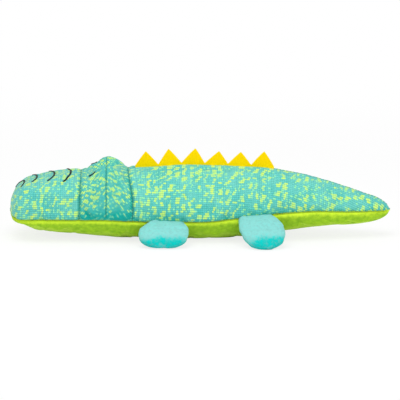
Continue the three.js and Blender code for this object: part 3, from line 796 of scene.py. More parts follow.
def closed_mesh(points):
    """A closed mesh from a grid whose columns run all the way round and whose ends are closed."""
    rings, columns = points.shape[:2]
    bm = bmesh.new()
    verts = [bm.verts.new(point) for point in points.reshape(-1, 3)]
    for face in faces_round(rings, columns):
        bm.faces.new([verts[number] for number in face])
    bm.faces.new(verts[:columns])
    bm.faces.new(verts[:-columns - 1:-1])
    bmesh.ops.remove_doubles(bm, verts=bm.verts, dist=1e-6)
    bmesh.ops.recalc_face_normals(bm, faces=bm.faces)
    return smooth_mesh(bm)


def thicken(obj, thickness):
    """Gives a patch of cloth its thickness, inwards."""
    solidify = obj.modifiers.new("Thickness", "SOLIDIFY")
    solidify.thickness = thickness
    solidify.offset = -1
    solidify.use_even_offset = False


# Node trees

class Value:
    """A node's output, which takes part in sums as a number does. Each step adds one Math node."""

    def __init__(self, socket):
        self.socket = socket
        self.tree = socket.id_data

    def math(self, operation, *others):
        """The result of a Math node that takes this value first."""
        return calc(self.tree, operation, self, *others)

    def ranged(self, low, high, to_low=0.0, to_high=1.0, **settings):
        """This value from low to high, spread over another range and held inside that."""
        limits = {"From Min": low, "From Max": high, "To Min": to_low, "To Max": to_high}
        return take(self.tree, "ShaderNodeMapRange", {"Value": self, **limits}, **settings)

    def __add__(self, other):
        return self.math("ADD", other)

    def __sub__(self, other):
        return self.math("SUBTRACT", other)

    def __rsub__(self, other):
        return calc(self.tree, "SUBTRACT", other, self)

    def __mul__(self, other):
        return self.math("MULTIPLY", other)

    def __truediv__(self, other):
        return self.math("DIVIDE", other)

    def __rtruediv__(self, other):
        return calc(self.tree, "DIVIDE", other, self)

    __radd__ = __add__
    __rmul__ = __mul__


def put(tree, kind, inputs=None, **settings):
    """Adds a node, with its settings and its inputs' values or links."""
    node = tree.nodes.new(kind)
    for key, value in settings.items():
        setattr(node, key, value)
    for key, value in (inputs or {}).items():
        if isinstance(value, Value):
            tree.links.new(value.socket, node.inputs[key])
        else:
            node.inputs[key].default_value = value
    return node


def take(tree, kind, inputs=None, output=0, **settings):
    """Adds a node and takes one of its outputs."""
    return Value(put(tree, kind, inputs, **settings).outputs[output])


def calc(tree, operation, *values):
    """The result of a Math node."""
    return take(tree, "ShaderNodeMath", dict(enumerate(values)), operation=operation)


def combine(tree, x, y, z=0.0):
    return take(tree, "ShaderNodeCombineXYZ", {0: x, 1: y, 2: z})


def named(sockets):
    """Sockets as values, by their names."""
    return {socket.name: Value(socket) for socket in sockets if socket.name}


def new_tree(name, kind, inputs, outputs):
    """A node tree with named inputs and outputs, each given as its name, its kind and its value if any."""
    tree = bpy.data.node_groups.new(name, kind)
    for in_out, rows in (("INPUT", inputs), ("OUTPUT", outputs)):
        for label, socket_kind, *value in rows:
            socket = tree.interface.new_socket(label, in_out=in_out, socket_type="NodeSocket" + socket_kind)
            if value:
                socket.default_value = value[0]
    given = tree.nodes.new("NodeGroupInput").outputs
    return tree, named(given), tree.nodes.new("NodeGroupOutput").inputs


def shader_group(name, inputs, outputs):
    """A shader node group that reads a place, with named numbers going in and out."""
    rows = [("Vector", "Vector"), *((label, "Float", value) for label, value in inputs.items())]
    return new_tree(name, "ShaderNodeTree", rows, [(label, "Float") for label in outputs])


def stacked_dashes(along, row, row_place, spacing, height, dash, lean, amount, seed):
    """Dashes stacked row on row, each stack in its own cell of an uneven grid: 0.75 to 1 inside, 0 outside.

    A stack leans, and has its own width and height. amount is the share of the cells that hold one."""
    tree = along.tree

    def dice(x, y, more):
        thrown = take(tree, "ShaderNodeTexWhiteNoise", {"Vector": combine(tree, x, y, seed + more)}, "Color")
        return [Value(socket) for socket in put(tree, "ShaderNodeSeparateColor", {0: thrown}).outputs]

    def within(value, low, high):
        return value * (high - low) + low

    column = (along / spacing).math("FLOOR")
    slip = dice(column, 0.5, 0.0)[0] * height
    cell = ((row_place + slip) / height).math("FLOOR")
    first, second, wobble = dice(column, cell, 17.0), dice(column, cell, 31.0), dice(column, row, 43.0)
    middle = (column + within(first[0], 0.35, 0.65)) * spacing
    up = row_place - ((cell + 0.5) * height - slip)
    leaned = up * (lean * within(first[1], 0.0, 2.0))
    jog = within(wobble[0], -0.28, 0.28) * dash
    off = along - (middle + (leaned + jog))
    half_width = dash * (within(first[2], 0.25, 0.7) * within(wobble[2], 0.7, 1.2))
    half_height = height * within(second[0], 0.1, 0.46)
    in_dash = off.math("ABSOLUTE").math("LESS_THAN", half_width)
    in_stack = up.math("ABSOLUTE").math("LESS_THAN", half_height)
    there = second[1].math("LESS_THAN", amount)
    return in_dash * in_stack * (there * within(wobble[1], 0.75, 1.0))


def round_yarn(run):
    """Height of round yarns side by side: 1 at the middle of each, and 0 between them."""
    centred = run.math("FRACT") * 2.0 - 1.0
    return 1.0 - centred * centred


@functools.cache
def weave_group():
    """A flat weave in double picks, with floats of a second colour in leaning stacks of dashes.

    Float is 1 on a full float, less on a half hidden one, and 0 on the ground."""
    inputs = {"Yarn": 0.00105, "Stack spacing": STACK_SPACING, "Stack height": STACK_HEIGHT, "Dash": DASH,
              "Lean": 0.4, "Amount": 0.8, "Rows": 0.3, "Seed": 0.0}
    results = ("Float", "Long", "Height", "Tone", "Pale")
    tree, given, result = shader_group("Flat weave with leaning stacks", inputs, results)
    yarn, spacing, stack, dash, lean, amount, rows, seed = (given[label] for label in inputs)
    x, y, _ = map(Value, put(tree, "ShaderNodeSeparateXYZ", {0: given["Vector"]}).outputs)
    warps, wefts = x / yarn, y / yarn
    warp, weft = warps.math("FLOOR"), wefts.math("FLOOR")
    row = (wefts * 0.5).math("FLOOR")
    row_place = (row + 0.5) * (yarn * 2.0)
    tall = stacked_dashes(x, row, row_place, spacing, stack, dash, lean, amount, seed)
    short = stacked_dashes(x, row, row_place, spacing * 0.6, stack * 0.5, dash * 0.55, lean, amount * 0.85,
                           seed + 100.0)
    warp_yarn, weft_yarn, warp_pair, weft_pair = map(round_yarn, (warps, wefts, warps * 0.5, wefts * 0.5))
    floats = (tall.math("MAXIMUM", short * 0.8) * (weft_pair * 0.75 + 0.42)).math("MINIMUM", 1.0)
    over = (warp + weft).math("FLOORED_MODULO", 2.0)
    plain = over * warp_yarn + (1.0 - over) * weft_yarn
    crossing = plain * (weft_yarn * 0.45 + 0.55)
    full = floats.math("GREATER_THAN", 0.5)
    height = (1.0 - full) * crossing + full * (weft_yarn * 1.15)
    across, uneven, single = (take(tree, "ShaderNodeTexWhiteNoise", {"Vector": combine(tree, *yarns, seed)})
                              for yarns in ((warp, 3.0), (5.0, weft), (warp, weft)))
    # Tone: a random tone for each yarn, lighter on the crowns of yarns and floats, and darker in the grooves
    # between yarns and rows, which is painted shade
    tone = rows * (weft_pair - 0.667) + 0.56
    for part, share in ((height, 0.15), (across, 0.06), (uneven, 0.06), (single, 0.07), (warp_pair, 0.15),
                        (floats, 0.15)):
        tone = tone + part * share
    for label, value in zip(results, (floats, tall, height, tone, over * single)):
        tree.links.new(value.socket, result[label])
    return tree


@functools.cache
def pile_group():
    """Short brushed pile: fine fibres standing in soft tufts."""
    inputs = {"Fibre": 0.0005, "Tuft": 0.0035, "Seed": 0.0}
    tree, given, result = shader_group("Brushed pile", inputs, ("Height", "Tone"))
    place = take(tree, "ShaderNodeVectorMath", {0: given["Vector"], 1: combine(tree, given["Seed"], 0.0)},
                 operation="ADD")
    fibres, tufts = (take(tree, "ShaderNodeTexNoise", {"Vector": place, "Scale": 1.0 / given[label],
                                                       "Detail": detail})
                     for label, detail in (("Fibre", 2.0), ("Tuft", 3.0)))
    height = fibres * 0.45 + tufts * 0.55
    tree.links.new(height.socket, result["Height"])
    tree.links.new(height.ranged(0.35, 0.65).socket, result["Tone"])
    return tree


# Materials

class Finish:
    """A material in the making. Its patterns follow place, which is fixed to the object."""

    def __init__(self, name, roughness, sheen=0.0, sheen_tint=(1, 1, 1), specular=0.2):
        self.material = bpy.data.materials.new(name)
        self.material.use_nodes = True
        self.tree = self.material.node_tree
        self.shader = self.tree.nodes["Principled BSDF"]
        self.shader.inputs["Roughness"].default_value = roughness
        self.shader.inputs["Specular IOR Level"].default_value = specular
        self.shader.inputs["Sheen Weight"].default_value = sheen
        self.shader.inputs["Sheen Roughness"].default_value = 0.45
        self.shader.inputs["Sheen Tint"].default_value = (*sheen_tint, 1)
        self.place = take(self.tree, "ShaderNodeTexCoord", output="Object")

    def noise(self, scale, detail=2.0):
        return take(self.tree, "ShaderNodeTexNoise", {"Vector": self.place, "Scale": scale, "Detail": detail})

    def rim(self):
        """The value that each point of a panel carries for its material."""
        return take(self.tree, "ShaderNodeAttribute", output="Fac", attribute_name="rim")

    def group(self, group, **inputs):
        """Places a node group and returns its outputs by name."""
        inputs = {label.replace("_", " "): value for label, value in inputs.items()}
        return named(put(self.tree, "ShaderNodeGroup", inputs, node_tree=group).outputs)

    def colour(self, colour):
        """A colour for a socket, from a value or from the name of one of the cloth colours."""
        return (*getattr(sizes("colours"), colour), 1) if isinstance(colour, str) else colour

    def blend(self, share, first, second):
        """The first colour, with a share of the second."""
        return take(self.tree, "ShaderNodeMix", {0: share, 6: self.colour(first), 7: self.colour(second)}, 2,
                    data_type="RGBA")

    def done(self, colour, tone=None, height=None, depth=0.0, strength=0.0):
        """Links the colour, made lighter or darker by the tone, and the relief of the given depth."""
        if isinstance(colour, str):
            colour = self.colour(colour)[:3]
        if tone is not None:
            colour = take(self.tree, "ShaderNodeVectorMath", {0: colour, "Scale": tone}, operation="SCALE")
        self.tree.links.new(colour.socket, self.shader.inputs["Base Color"])
        if height is not None:
            normal = take(self.tree, "ShaderNodeBump",
                          {"Height": height, "Distance": depth, "Strength": strength})
            self.tree.links.new(normal.socket, self.shader.inputs["Normal"])
        return self.material


@functools.cache
def woven_cloth(seed, coarseness, amount, rows):
    """The teal and lime woven cloth, which follows the flat cloth's own map."""
    finish = Finish("Woven cloth " + str(int(seed)), 0.82, 0.28, (0.7, 0.92, 1))
    flat = take(finish.tree, "ShaderNodeUVMap", uv_map="Cloth")
    weave = finish.group(weave_group(), Vector=flat, Stack_spacing=STACK_SPACING * coarseness,
                         Stack_height=STACK_HEIGHT * coarseness, Dash=DASH * coarseness, Amount=amount,
                         Rows=rows, Seed=seed)
    patches = finish.noise(45.0).ranged(0.35, 0.65)
    ground = finish.blend(patches, "teal", "teal_deep")
    ground = finish.blend(weave["Pale"] * 0.5, ground, "teal_pale")
    spots = finish.noise(260.0).ranged(0.38, 0.62)
    pattern = finish.blend(weave["Long"] * (spots * 0.35 + 0.65), "lime_pale", "lime")
    # A woven panel's rim attribute is painted shade: it blends the ground, and the pattern less, towards the
    # shaded teal
    crease = finish.rim()
    ground = finish.blend(crease, ground, "teal_shade")
    pattern = finish.blend(crease * crease * 0.75, pattern, "teal_shade")
    return finish.done(finish.blend(weave["Float"], ground, pattern), weave["Tone"], weave["Height"], 0.00022,
                       0.55)


@functools.cache
def belly_plush():
    """Short lime plush. Its rim attribute is 1 at the raised pile of the side seams, which is partly a
    painted highlight, and -1 underneath, where painted light makes the plush paler.
    """
    finish = Finish("Lime plush", 0.9, 0.12, (0.75, 0.95, 0.35), 0.04)
    pile = finish.group(pile_group(), Vector=finish.place, Fibre=0.00045, Tuft=0.0042)
    rim = finish.rim()
    plush = finish.blend(pile["Tone"], "belly_deep", "belly")
    # Painted light: faces that look down are made paler, as if lit from below
    plush = finish.blend(rim.ranged(-0.35, -0.95) * 0.7, plush, "belly_under")
    # The paler raised pile along the side seams, partly a painted highlight
    raised = (rim + (pile["Tone"] - 0.5) * 0.35).ranged(0.25, 0.75)
    plush = finish.blend(raised, plush, "belly_edge")
    return finish.done(plush, height=pile["Height"], depth=0.0009, strength=0.6)


@functools.cache
def foot_plush():
    """Short teal plush: pale on the crown, with painted shade round the toe and on the sole."""
    finish = Finish("Teal plush", 0.9, 0.3, (0.8, 1, 1), 0.04)
    pile = finish.group(pile_group(), Vector=finish.place, Fibre=0.0005, Tuft=0.003, Seed=0.4)
    painted_toe_shade = (finish.rim() + (pile["Tone"] - 0.5) * 0.8).ranged(0.12, 0.88)
    plush = finish.blend(painted_toe_shade, "foot", "foot_deep")
    return finish.done(plush, pile["Tone"] * 0.26 + 0.81, pile["Height"], 0.0008, 0.55)


@functools.cache
def yellow_felt():
    """Pressed felt: short fibres lying every way."""
    finish = Finish("Yellow felt", 0.95, specular=0.03)
    fibres = []
    for turn in (0.4, 1.5, 2.6):
        turned = take(finish.tree, "ShaderNodeMapping", {"Vector": finish.place, "Rotation": (0, turn, 0.3),
                                                         "Scale": (2600, 2600, 500)})
        noise_inputs = {"Vector": turned, "Scale": 1.0, "Detail": 1.0}
        fibres.append(take(finish.tree, "ShaderNodeTexNoise", noise_inputs))
    height = fibres[0].math("MAXIMUM", fibres[1]).math("MAXIMUM", fibres[2])
    return finish.done("felt", height.ranged(0.4, 0.75, 0.88, 1.06), height, 0.00025, 0.5)


@functools.cache
def thread(name, colour):
    """Twisted sewing thread."""
    finish = Finish(name, 0.5, 0.1)
    fine = finish.noise(3500.0, 1.0)
    return finish.done(colour, fine.ranged(0.0, 1.0, 0.75, 1.3), fine, 0.00008, 0.5)


@functools.cache
def loose_pile():
    """Single fibres of the belly's raised pile."""
    finish = Finish("Raised lime pile", 0.8, 0.1)
    # The raised pile's colour is partly a painted highlight
    return finish.done("belly_edge", finish.noise(900.0).ranged(0.3, 0.7, 0.7, 1.1))


@functools.cache
def loose_fibre():
    """White polyester filling."""
    finish = Finish("Loose fibre", 0.9, 0.3)
    pile = finish.group(pile_group(), Vector=finish.place, Fibre=0.0012, Tuft=0.012, Seed=1.2)
    return finish.done("fibre", pile["Tone"] * 0.18 + 0.82, pile["Height"], 0.003, 0.7)


# Threads laid by geometry nodes

@functools.cache
def strand_tree():
    """Lays one arched strand of thread on every point, along its run and standing on its up."""
    inputs = (("Geometry", "Geometry"), ("Length", "Float", 0.0014), ("Crown", "Float", 0.0003),
              ("Thickness", "Float", 0.0003), ("Unevenness", "Float", 0.06), ("Seed", "Int", 1),
              ("Sides", "Int", 5), ("Segments", "Int", 4), ("Material", "Material"))
    tree, given, result = new_tree("Strand on each point", "GeometryNodeTree", inputs,
                                   [("Geometry", "Geometry")])
    start, end = (combine(tree, given["Length"] * share, 0.0) for share in (-0.5, 0.5))
    arch = take(tree, "GeometryNodeCurveQuadraticBezier", {
        "Resolution": given["Segments"], "Start": start, "End": end,
        "Middle": combine(tree, 0.0, 0.0, given["Crown"] * 2.0)})
    profile = take(tree, "GeometryNodeCurvePrimitiveCircle",
                   {"Resolution": given["Sides"], "Radius": given["Thickness"] * 0.5}, mode="RADIUS")
    strand = take(tree, "GeometryNodeCurveToMesh", {"Curve": arch, "Profile Curve": profile,
                                                    "Fill Caps": True})
    kinds = {"run": "FLOAT_VECTOR", "up": "FLOAT_VECTOR", "reach": "FLOAT"}
    run, up, reach = (take(tree, "GeometryNodeInputNamedAttribute", {"Name": label}, data_type=kind)
                      for label, kind in kinds.items())
    turn = take(tree, "FunctionNodeAxesToRotation", {"Primary Axis": run, "Secondary Axis": up},
                primary_axis="X", secondary_axis="Z")
    least, most = 2, 3  # the number sockets come third and fourth, after those of the vectors
    uneven = take(tree, "FunctionNodeRandomValue", {
        least: 1.0 - given["Unevenness"], most: 1.0 + given["Unevenness"], "Seed": given["Seed"]}, 1,
        data_type="FLOAT")
    laid = take(tree, "GeometryNodeInstanceOnPoints", {
        "Points": given["Geometry"], "Instance": strand, "Rotation": turn,
        "Scale": combine(tree, uneven * reach, 1.0, 1.0)})
    real = take(tree, "GeometryNodeRealizeInstances", {0: laid})
    smooth = take(tree, "GeometryNodeSetShadeSmooth", {0: real})
    painted = take(tree, "GeometryNodeSetMaterial", {"Geometry": smooth, "Material": given["Material"]})
    tree.links.new(painted.socket, result["Geometry"])
    return tree


def lay_strands(name, strands, material, **values):
    """A plain mesh of strands laid by the strand tree, each given as its place, run, up and reach."""
    points, runs, ups, reaches = zip(*strands)
    mesh = bpy.data.meshes.new(name)
    mesh.from_pydata([tuple(point) for point in points], [], [])
    for label, rows in (("run", runs), ("up", ups)):
        layer = mesh.attributes.new(label, "FLOAT_VECTOR", "POINT")
        layer.data.foreach_set("vector", np.asarray(rows, np.float32).ravel())
    mesh.attributes.new("reach", "FLOAT", "POINT").data.foreach_set("value", np.asarray(reaches, np.float32))
    obj = add_object(name, mesh)
    modifier = obj.modifiers.new("Strands", "NODES")
    modifier.node_group = strand_tree()
    values["Material"] = material
    for item in modifier.node_group.interface.items_tree:
        if item.in_out == "INPUT" and item.name in values:
            modifier[item.identifier] = values[item.name]
    obj.update_tag()
    laid = bpy.data.meshes.new_from_object(obj.evaluated_get(bpy.context.evaluated_depsgraph_get()))
    obj.modifiers.remove(modifier)
    obj.data = laid
    bpy.data.meshes.remove(mesh)
    laid.name = name
    if not laid.polygons:
        raise RuntimeError(name + " came out empty")
    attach(obj, "body")
    return obj


def on_line(line, places):
    """Each place along a line, with its point and the direction of the line there."""
    points = points_at(places, running_length(line), line)
    for place, point, tangent in zip(places, points, np.gradient(points, axis=0)):
        yield place, Vector(point), Vector(tangent).normalized()


def satin(name, line, width, slant=0.35):
    """Satin stitch along a line of points on the skin: strands laid across it, close together."""
    threads = sizes("threads")
    length = running_length(line)[-1]
    count = max(2, int(length / threads.spacing))
    strands = []
    for place, point, tangent in on_line(line, np.linspace(0, length, count + 1)):
        near, normal, _, _ = skin_tree().find_nearest(point)
        across = normal.cross(tangent).normalized()
        direction = (across + slant * tangent).normalized()
        to_end = min(place, length - place) / width
        ends = [near + 0.5 * side * width * direction for side in (LEFT, RIGHT)]
        sunk = max((skin_tree().find_nearest(end)[0] - end).dot(normal) for end in ends)
        strands.append((near + (0.00005 + max(0.0, sunk)) * normal, direction, normal,
                        min(1.0, 0.7 + 0.8 * to_end)))
    return lay_strands(name, strands, thread("Dark thread", "thread"), Length=width, Crown=0.26 * width,
                       Thickness=threads.strand, Unevenness=0.08, Seed=len(strands))


def dropped(x, y):
    """The point of the skin under a place in plan."""
    point = skin_tree().ray_cast(Vector((x, y, 0.2)), Vector((0, 0, -1)))[0]
    if point is None:
        raise RuntimeError("nothing of the skin lies under this place")
    return point


def joint_of(body):
    """The joint that a body moves on."""
    return next(joint for joint in frame["joints"] if joint["child"] == body)


# Operators, one for each piece or group of like pieces

class PieceOperator(bpy.types.Operator):
    """Shared by the operators that make pieces"""
    bl_options = {"REGISTER", "UNDO"}


class CROC_OT_skin_panels(PieceOperator):
    """Make the six cloth panels of the stuffed body"""
    bl_idname = "croc.skin_panels"
    bl_label = "Skin panels"

    def execute(self, context):
        made = skin()
        snout, brow, neck = made.cross_rings
        spine, left, last = made.spine, made.left_seam, len(made.points) - 1
        across = np.broadcast_to(made.along.mean(axis=1)[:, None], made.around.shape)
        up = -self.stretched(made.from_spine)
        straight = np.stack([across, up], axis=-1)
        rising = math.sqrt(0.5) * np.stack([across + up, across - up], axis=-1)
        over_top = smoothstep(made.from_spine, -0.012, 0.012)
        whole = 2 * made.from_spine[snout, left]
        round_nose = over_top * made.from_left + (1 - over_top) * (whole - made.from_right)
        panels = (
            ("snout_panel", (0, snout), (0, left), np.stack([across, round_nose], axis=-1)),
            ("brow_front_panel", (snout, brow), (0, left), rising),
            ("brow_rear_panel", (brow, neck), (0, left), rising[..., ::-1]),
            ("back_panel_right", (neck, last), (0, spine), -straight),
            ("back_panel_left", (neck, last), (spine, left), straight),
        )
        # Painted shade for the woven panels: all over, low down by the side seams, beside the side seams, in
        # hollows and creases, along the cross seams and at the neck
        low_down = hump(made.side, 0.012) * (1 - smoothstep(made.form[..., 0], 0.05, 0.13))
        to_neck = fading(made.from_cross[2], 0.004) * hump(made.side, 0.026)
        painted_hollow_shade = 0.45 * fading(made.side, 0.0026) + 0.8 * made.cavity + made.seam_shade
        for node, (r0, r1), (c0, c1), flat in panels:
            seed, coarseness, amount, rows, all_over, shelter, at_neck = PANEL_CLOTH[node]
            shade = np.clip(all_over + shelter * low_down + painted_hollow_shade + at_neck * to_neck, 0, 1)
            part = (slice(r0, r1 + 1), slice(c0, c1 + 1))
            cloth = woven_cloth(seed, coarseness, amount, rows)
            self.add_panel(node + "_cloth", part, flat, shade, cloth, node, "woven_cloth")
        under = (slice(None), np.arange(left, made.columns + 1) % made.columns)
        # The belly's rim attribute: high beside the side seams for the paler raised pile, partly a painted
        # highlight, and below zero on faces that look down, for painted light from below
        facing_down = smoothstep(-made.normals[..., 2], 0.5, 1.0)
        self.add_panel("belly_panel_plush", under, np.stack([across, made.around], axis=-1),
                       fading(made.side, 0.0036) - facing_down, belly_plush(), "belly_panel", "belly_plush")
        return {"FINISHED"}

    def stretched(self, distance):
        """Distance along the flat cloth, which is stretched where it is pulled over the crown of the back."""
        body = sizes("body")
        share = np.clip(np.abs(distance) / body.stretch_reach, 0, 1)
        saved = body.stretch * body.stretch_reach / 3 * (1 - (1 - share) ** 3)
        return np.sign(distance) * (np.abs(distance) - saved)

    def add_panel(self, name, part, flat, shade, material, node, slot):
        """One part of the skin as a panel of cloth."""
        made, body = skin(), sizes("body")
        turn_in = np.broadcast_to(np.clip(0.4 * made.radius, 0.0001, body.turn_in), shade.shape)
        mesh = panel_mesh(made.points[part], made.normals[part], flat[part], turn_in[part], shade[part])
        obj = add_piece(name, mesh, material)
        thicken(obj, body.cloth_thickness)
        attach(obj, "body")
        stand_for(obj, node, BODY_FILL)


class CROC_OT_body_filling(PieceOperator):
    """Make the loose fibre inside the body"""
    bl_idname = "croc.body_filling"
    bl_label = "Body filling"

    def execute(self, context):
        made = skin()
        depth = sizes("body").filling_depth
        points, normals = (grid[::SIM_STEP, ::SIM_STEP] for grid in (made.points, made.normals))
        inner = points - depth * (1 + 0.25 * lumps(points, 0.012, 9.0))[..., None] * normals
        inner = inner[made.radius[::SIM_STEP, 0] > 2.2 * depth]
        add_filling("body_filling_fibre", inner, "body", "body_filling", BODY_FILL)
        return {"FINISHED"}


class CROC_OT_embroidery(PieceOperator):
    """Stitch the four arcs across the snout and the two eyes"""
    bl_idname = "croc.embroidery"
    bl_label = "Embroidery"

    def execute(self, context):
        threads = sizes("threads")
        shares = np.linspace(-1, 1, 81)
        for node, tip, left_sweep, right_sweep, left_reach, right_reach in ARCS:
            sweep = np.where(shares < 0, left_sweep, right_sweep)
            reach = np.where(shares < 0, left_reach, right_reach)
            self.stitch(node, tip - sweep * np.abs(shares) ** 2.8, threads.off_centre + shares * reach,
                        threads.arc_width)
        for node, front, rear in EYES:
            self.stitch(node, *np.linspace(front, rear, 24).T, threads.eye_width)
        return {"FINISHED"}

    def stitch(self, node, xs, ys, width):
        """Stitches a line that is given in plan."""
        line = np.array([dropped(x, y) for x, y in zip(xs, ys)])
        stand_for(satin(node + "_thread", line, width), node)


class CROC_OT_spike_strip(PieceOperator):
    """Make the felt spike strip caught in the spine seam"""
    bl_idname = "croc.spike_strip"
    bl_label = "Spike strip"

    def execute(self, context):
        obj = add_piece("spike_strip_felt", self.strip_mesh(sizes("spikes")), yellow_felt())
        pivot = Vector(joint_of("spikes")["pos_m"])
        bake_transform(obj)
        stand_for(obj, "spike_strip")
        return {"FINISHED"}

    def outline(self, strip):
        """Places along the strip and the height of its edge there, with rounded tips and valleys."""
        step = 0.0004
        pitch = strip.length / len(SPIKES)
        corners = []
        for number, (tip, height) in enumerate(SPIKES):
            corners += [(number * pitch, strip.band), ((number + tip) * pitch, height * strip.height)]
        corners.append((strip.length, strip.band))
        xs = np.arange(0, strip.length + 1e-9, step)
        heights = np.interp(xs, *zip(*corners))
        share = (heights - strip.band) / strip.height
        heights += strip.bulge * np.sin(math.pi * np.clip(share, 0, 1)) * strip.height
        window = max(1, int(strip.tip_radius / step))
        kernel = np.hanning(2 * window + 3)
        padded = np.pad(heights, window + 1, mode="edge")
        return xs, np.convolve(padded, kernel / kernel.sum(), mode="valid")

    def strip_mesh(self, strip):
        """The strip as a row of thin upright slices, each from the seam up to the edge."""
        made = skin()
        back = made.points[:, made.spine]
        back = back[np.argsort(back[:, 0])]
        start = (strip.start - 0.5) * sizes("body").length
        xs, heights = self.outline(strip)
        base = np.interp(start + xs, back[:, 0], back[:, 2]) - strip.sunk
        levels = (0, 0.05, 0.12, 0.22, 0.34, 0.46, 0.58, 0.7, 0.81, 0.9, 0.96, 1)
        thinned = (1,) * (len(levels) - 2) + (0.92, 0.55)
        bm = bmesh.new()
        slices = []
        for x, z0, height in zip(xs, base, heights):
            upright = []
            for side in (LEFT, RIGHT):
                for level, thin in zip(levels, thinned):
                    z = z0 + level * (height + strip.sunk)
                    share = max(0.0, (z - z0 - strip.sunk) / strip.height)
                    sway = strip.sway * share * noise.noise(Vector((x / 0.02, 1.7, 0.3)))
                    fuzz = 0.00012 * noise.noise(Vector((x / 0.0012, z / 0.0012, side)))
                    y = side * (strip.thickness / 2 * thin + fuzz) + sway
                    upright.append(bm.verts.new((start + x, y, z)))
            slices.append(upright[:len(levels)] + upright[:len(levels) - 1:-1])
        for a, b in zip(slices, slices[1:]):
            for i in range(len(a)):
                bm.faces.new((a[i - 1], b[i - 1], b[i], a[i]))
        bm.faces.new(slices[0])
        bm.faces.new(reversed(slices[-1]))
        bmesh.ops.recalc_face_normals(bm, faces=bm.faces)
        return smooth_mesh(bm)


class Pouch:
    """A stuffed foot as a grid of rings from root to toe and columns round each ring, in its own place."""

    def __init__(self, body, side, shape, inset=0.0, seed=0.0):
        self.sizes = sizes("feet")
        self.side, self.seed = side, seed
        self.length, self.width, self.lean, self.root_back, self.root_wide = shape
        joint = joint_of(body)
        self.pivot = np.array(joint["pos_m"])
        along = np.array(joint["axis"]) / np.linalg.norm(joint["axis"])
        level = np.cross((0, 0, 1), along)
        level /= np.linalg.norm(level)
        droop = self.sizes.droop
        self.outward = math.cos(droop) * level - math.sin(droop) * np.cross(along, level)
        self.upward = np.cross(along, self.outward)
        self.aside = -along
        self.plan = self.shaped(inset)

    def shaped(self, inset):
        """Points of the foot in its own place, or of a smaller one set in from it."""
        feet = self.sizes
        shares = np.linspace(0, 1, feet.rings + 1)
        places = 0.5 * (shares + np.sin(shares * math.pi / 2)) * (len(FOOT_STATIONS) - 1)
        at, low, high, half, square = np.moveaxis(smooth_at(FOOT_STATIONS, places), -1, 0)[..., None]
        half_height = np.maximum((high - low) / 2 * feet.thickness - inset, 1e-5)
        half = half * (1 + self.root_wide * (1 - at) ** 3)
        half_width = np.maximum(half * self.width / 2 - 1.3 * inset, 1e-5)
        turn = np.arange(2 * feet.columns) / (2 * feet.columns) * 2 * math.pi
        turn = turn - 0.18 * np.sin(2 * turn)
        radius = section_reach(turn, half_width, half_height, square)
        x = np.broadcast_to(at * self.length, radius.shape)
        x = x - feet.tuck * np.clip(1 - x / 0.004, 0, 1)
        return np.stack([x, radius * np.cos(turn), radius * np.sin(turn)], axis=-1)

    def world(self, local):
        """Points of the foot's own frame in the toy's."""
        x, y, z = np.moveaxis(local, -1, 0)
        share = x / self.length
        y = y - self.side * (self.lean * np.sin(np.clip(share, 0, 1) * math.pi / 2)
                             + self.root_back * np.clip(1 - share, 0, 1) ** 3)
        z = z - self.sizes.sag * hump(np.maximum(x, 0), 0.006)
        return (self.pivot + x[..., None] * self.outward + y[..., None] * self.aside
                + z[..., None] * self.upward)

    def relief(self):
        """Edge seam, puckers, gathers at the root, and the folds of the top."""
        feet = self.sizes
        x, y, z = np.moveaxis(self.plan, -1, 0)
        run = running_length(self.plan)
        around = length_round(self.plan)[:, :-1]
        last = around[:, -1:] + 1e-6
        half = around[:, feet.columns, None]
        edge = np.minimum(np.minimum(around, last - around), np.abs(around - half))
        toe = run[-1:] - run
        relief = -feet.seam_depth * fading(edge, HELD)
        relief -= 0.5 * feet.seam_depth * fading(toe, HELD)
        gathers = ripples(np.where(edge < toe, x, y), 0.0042, 3.3 + self.seed)
        relief += 0.00045 * gathers * fading(np.minimum(edge, toe * 0.6), 0.004)
        root = np.exp(-x / 0.007) * smoothstep(x, -0.001, 0.003)
        relief += 0.001 * root * ripples(y + 0.12 * x, 0.0065, 8.1 + self.seed)
        bunched = hump(self.side * y - 0.0125, 0.0035) * hump(x, 0.006)
        across = x - (0.42 + 0.05 * np.sin(self.side * y / 0.008 + self.seed)) * self.length
        folded = hump(across, 0.0016) - 0.5 * hump(across - 0.0035, 0.0025)
        relief += (0.002 * bunched - 0.0008 * folded * smoothstep(edge, 0.002, 0.009)) * (z > 0)
        relief += 0.001 * lumps(self.plan, 0.014, 2.0 + self.seed) * smoothstep(edge, 0.001, 0.006)
        return relief * smoothstep(toe, 0.0, 0.002)


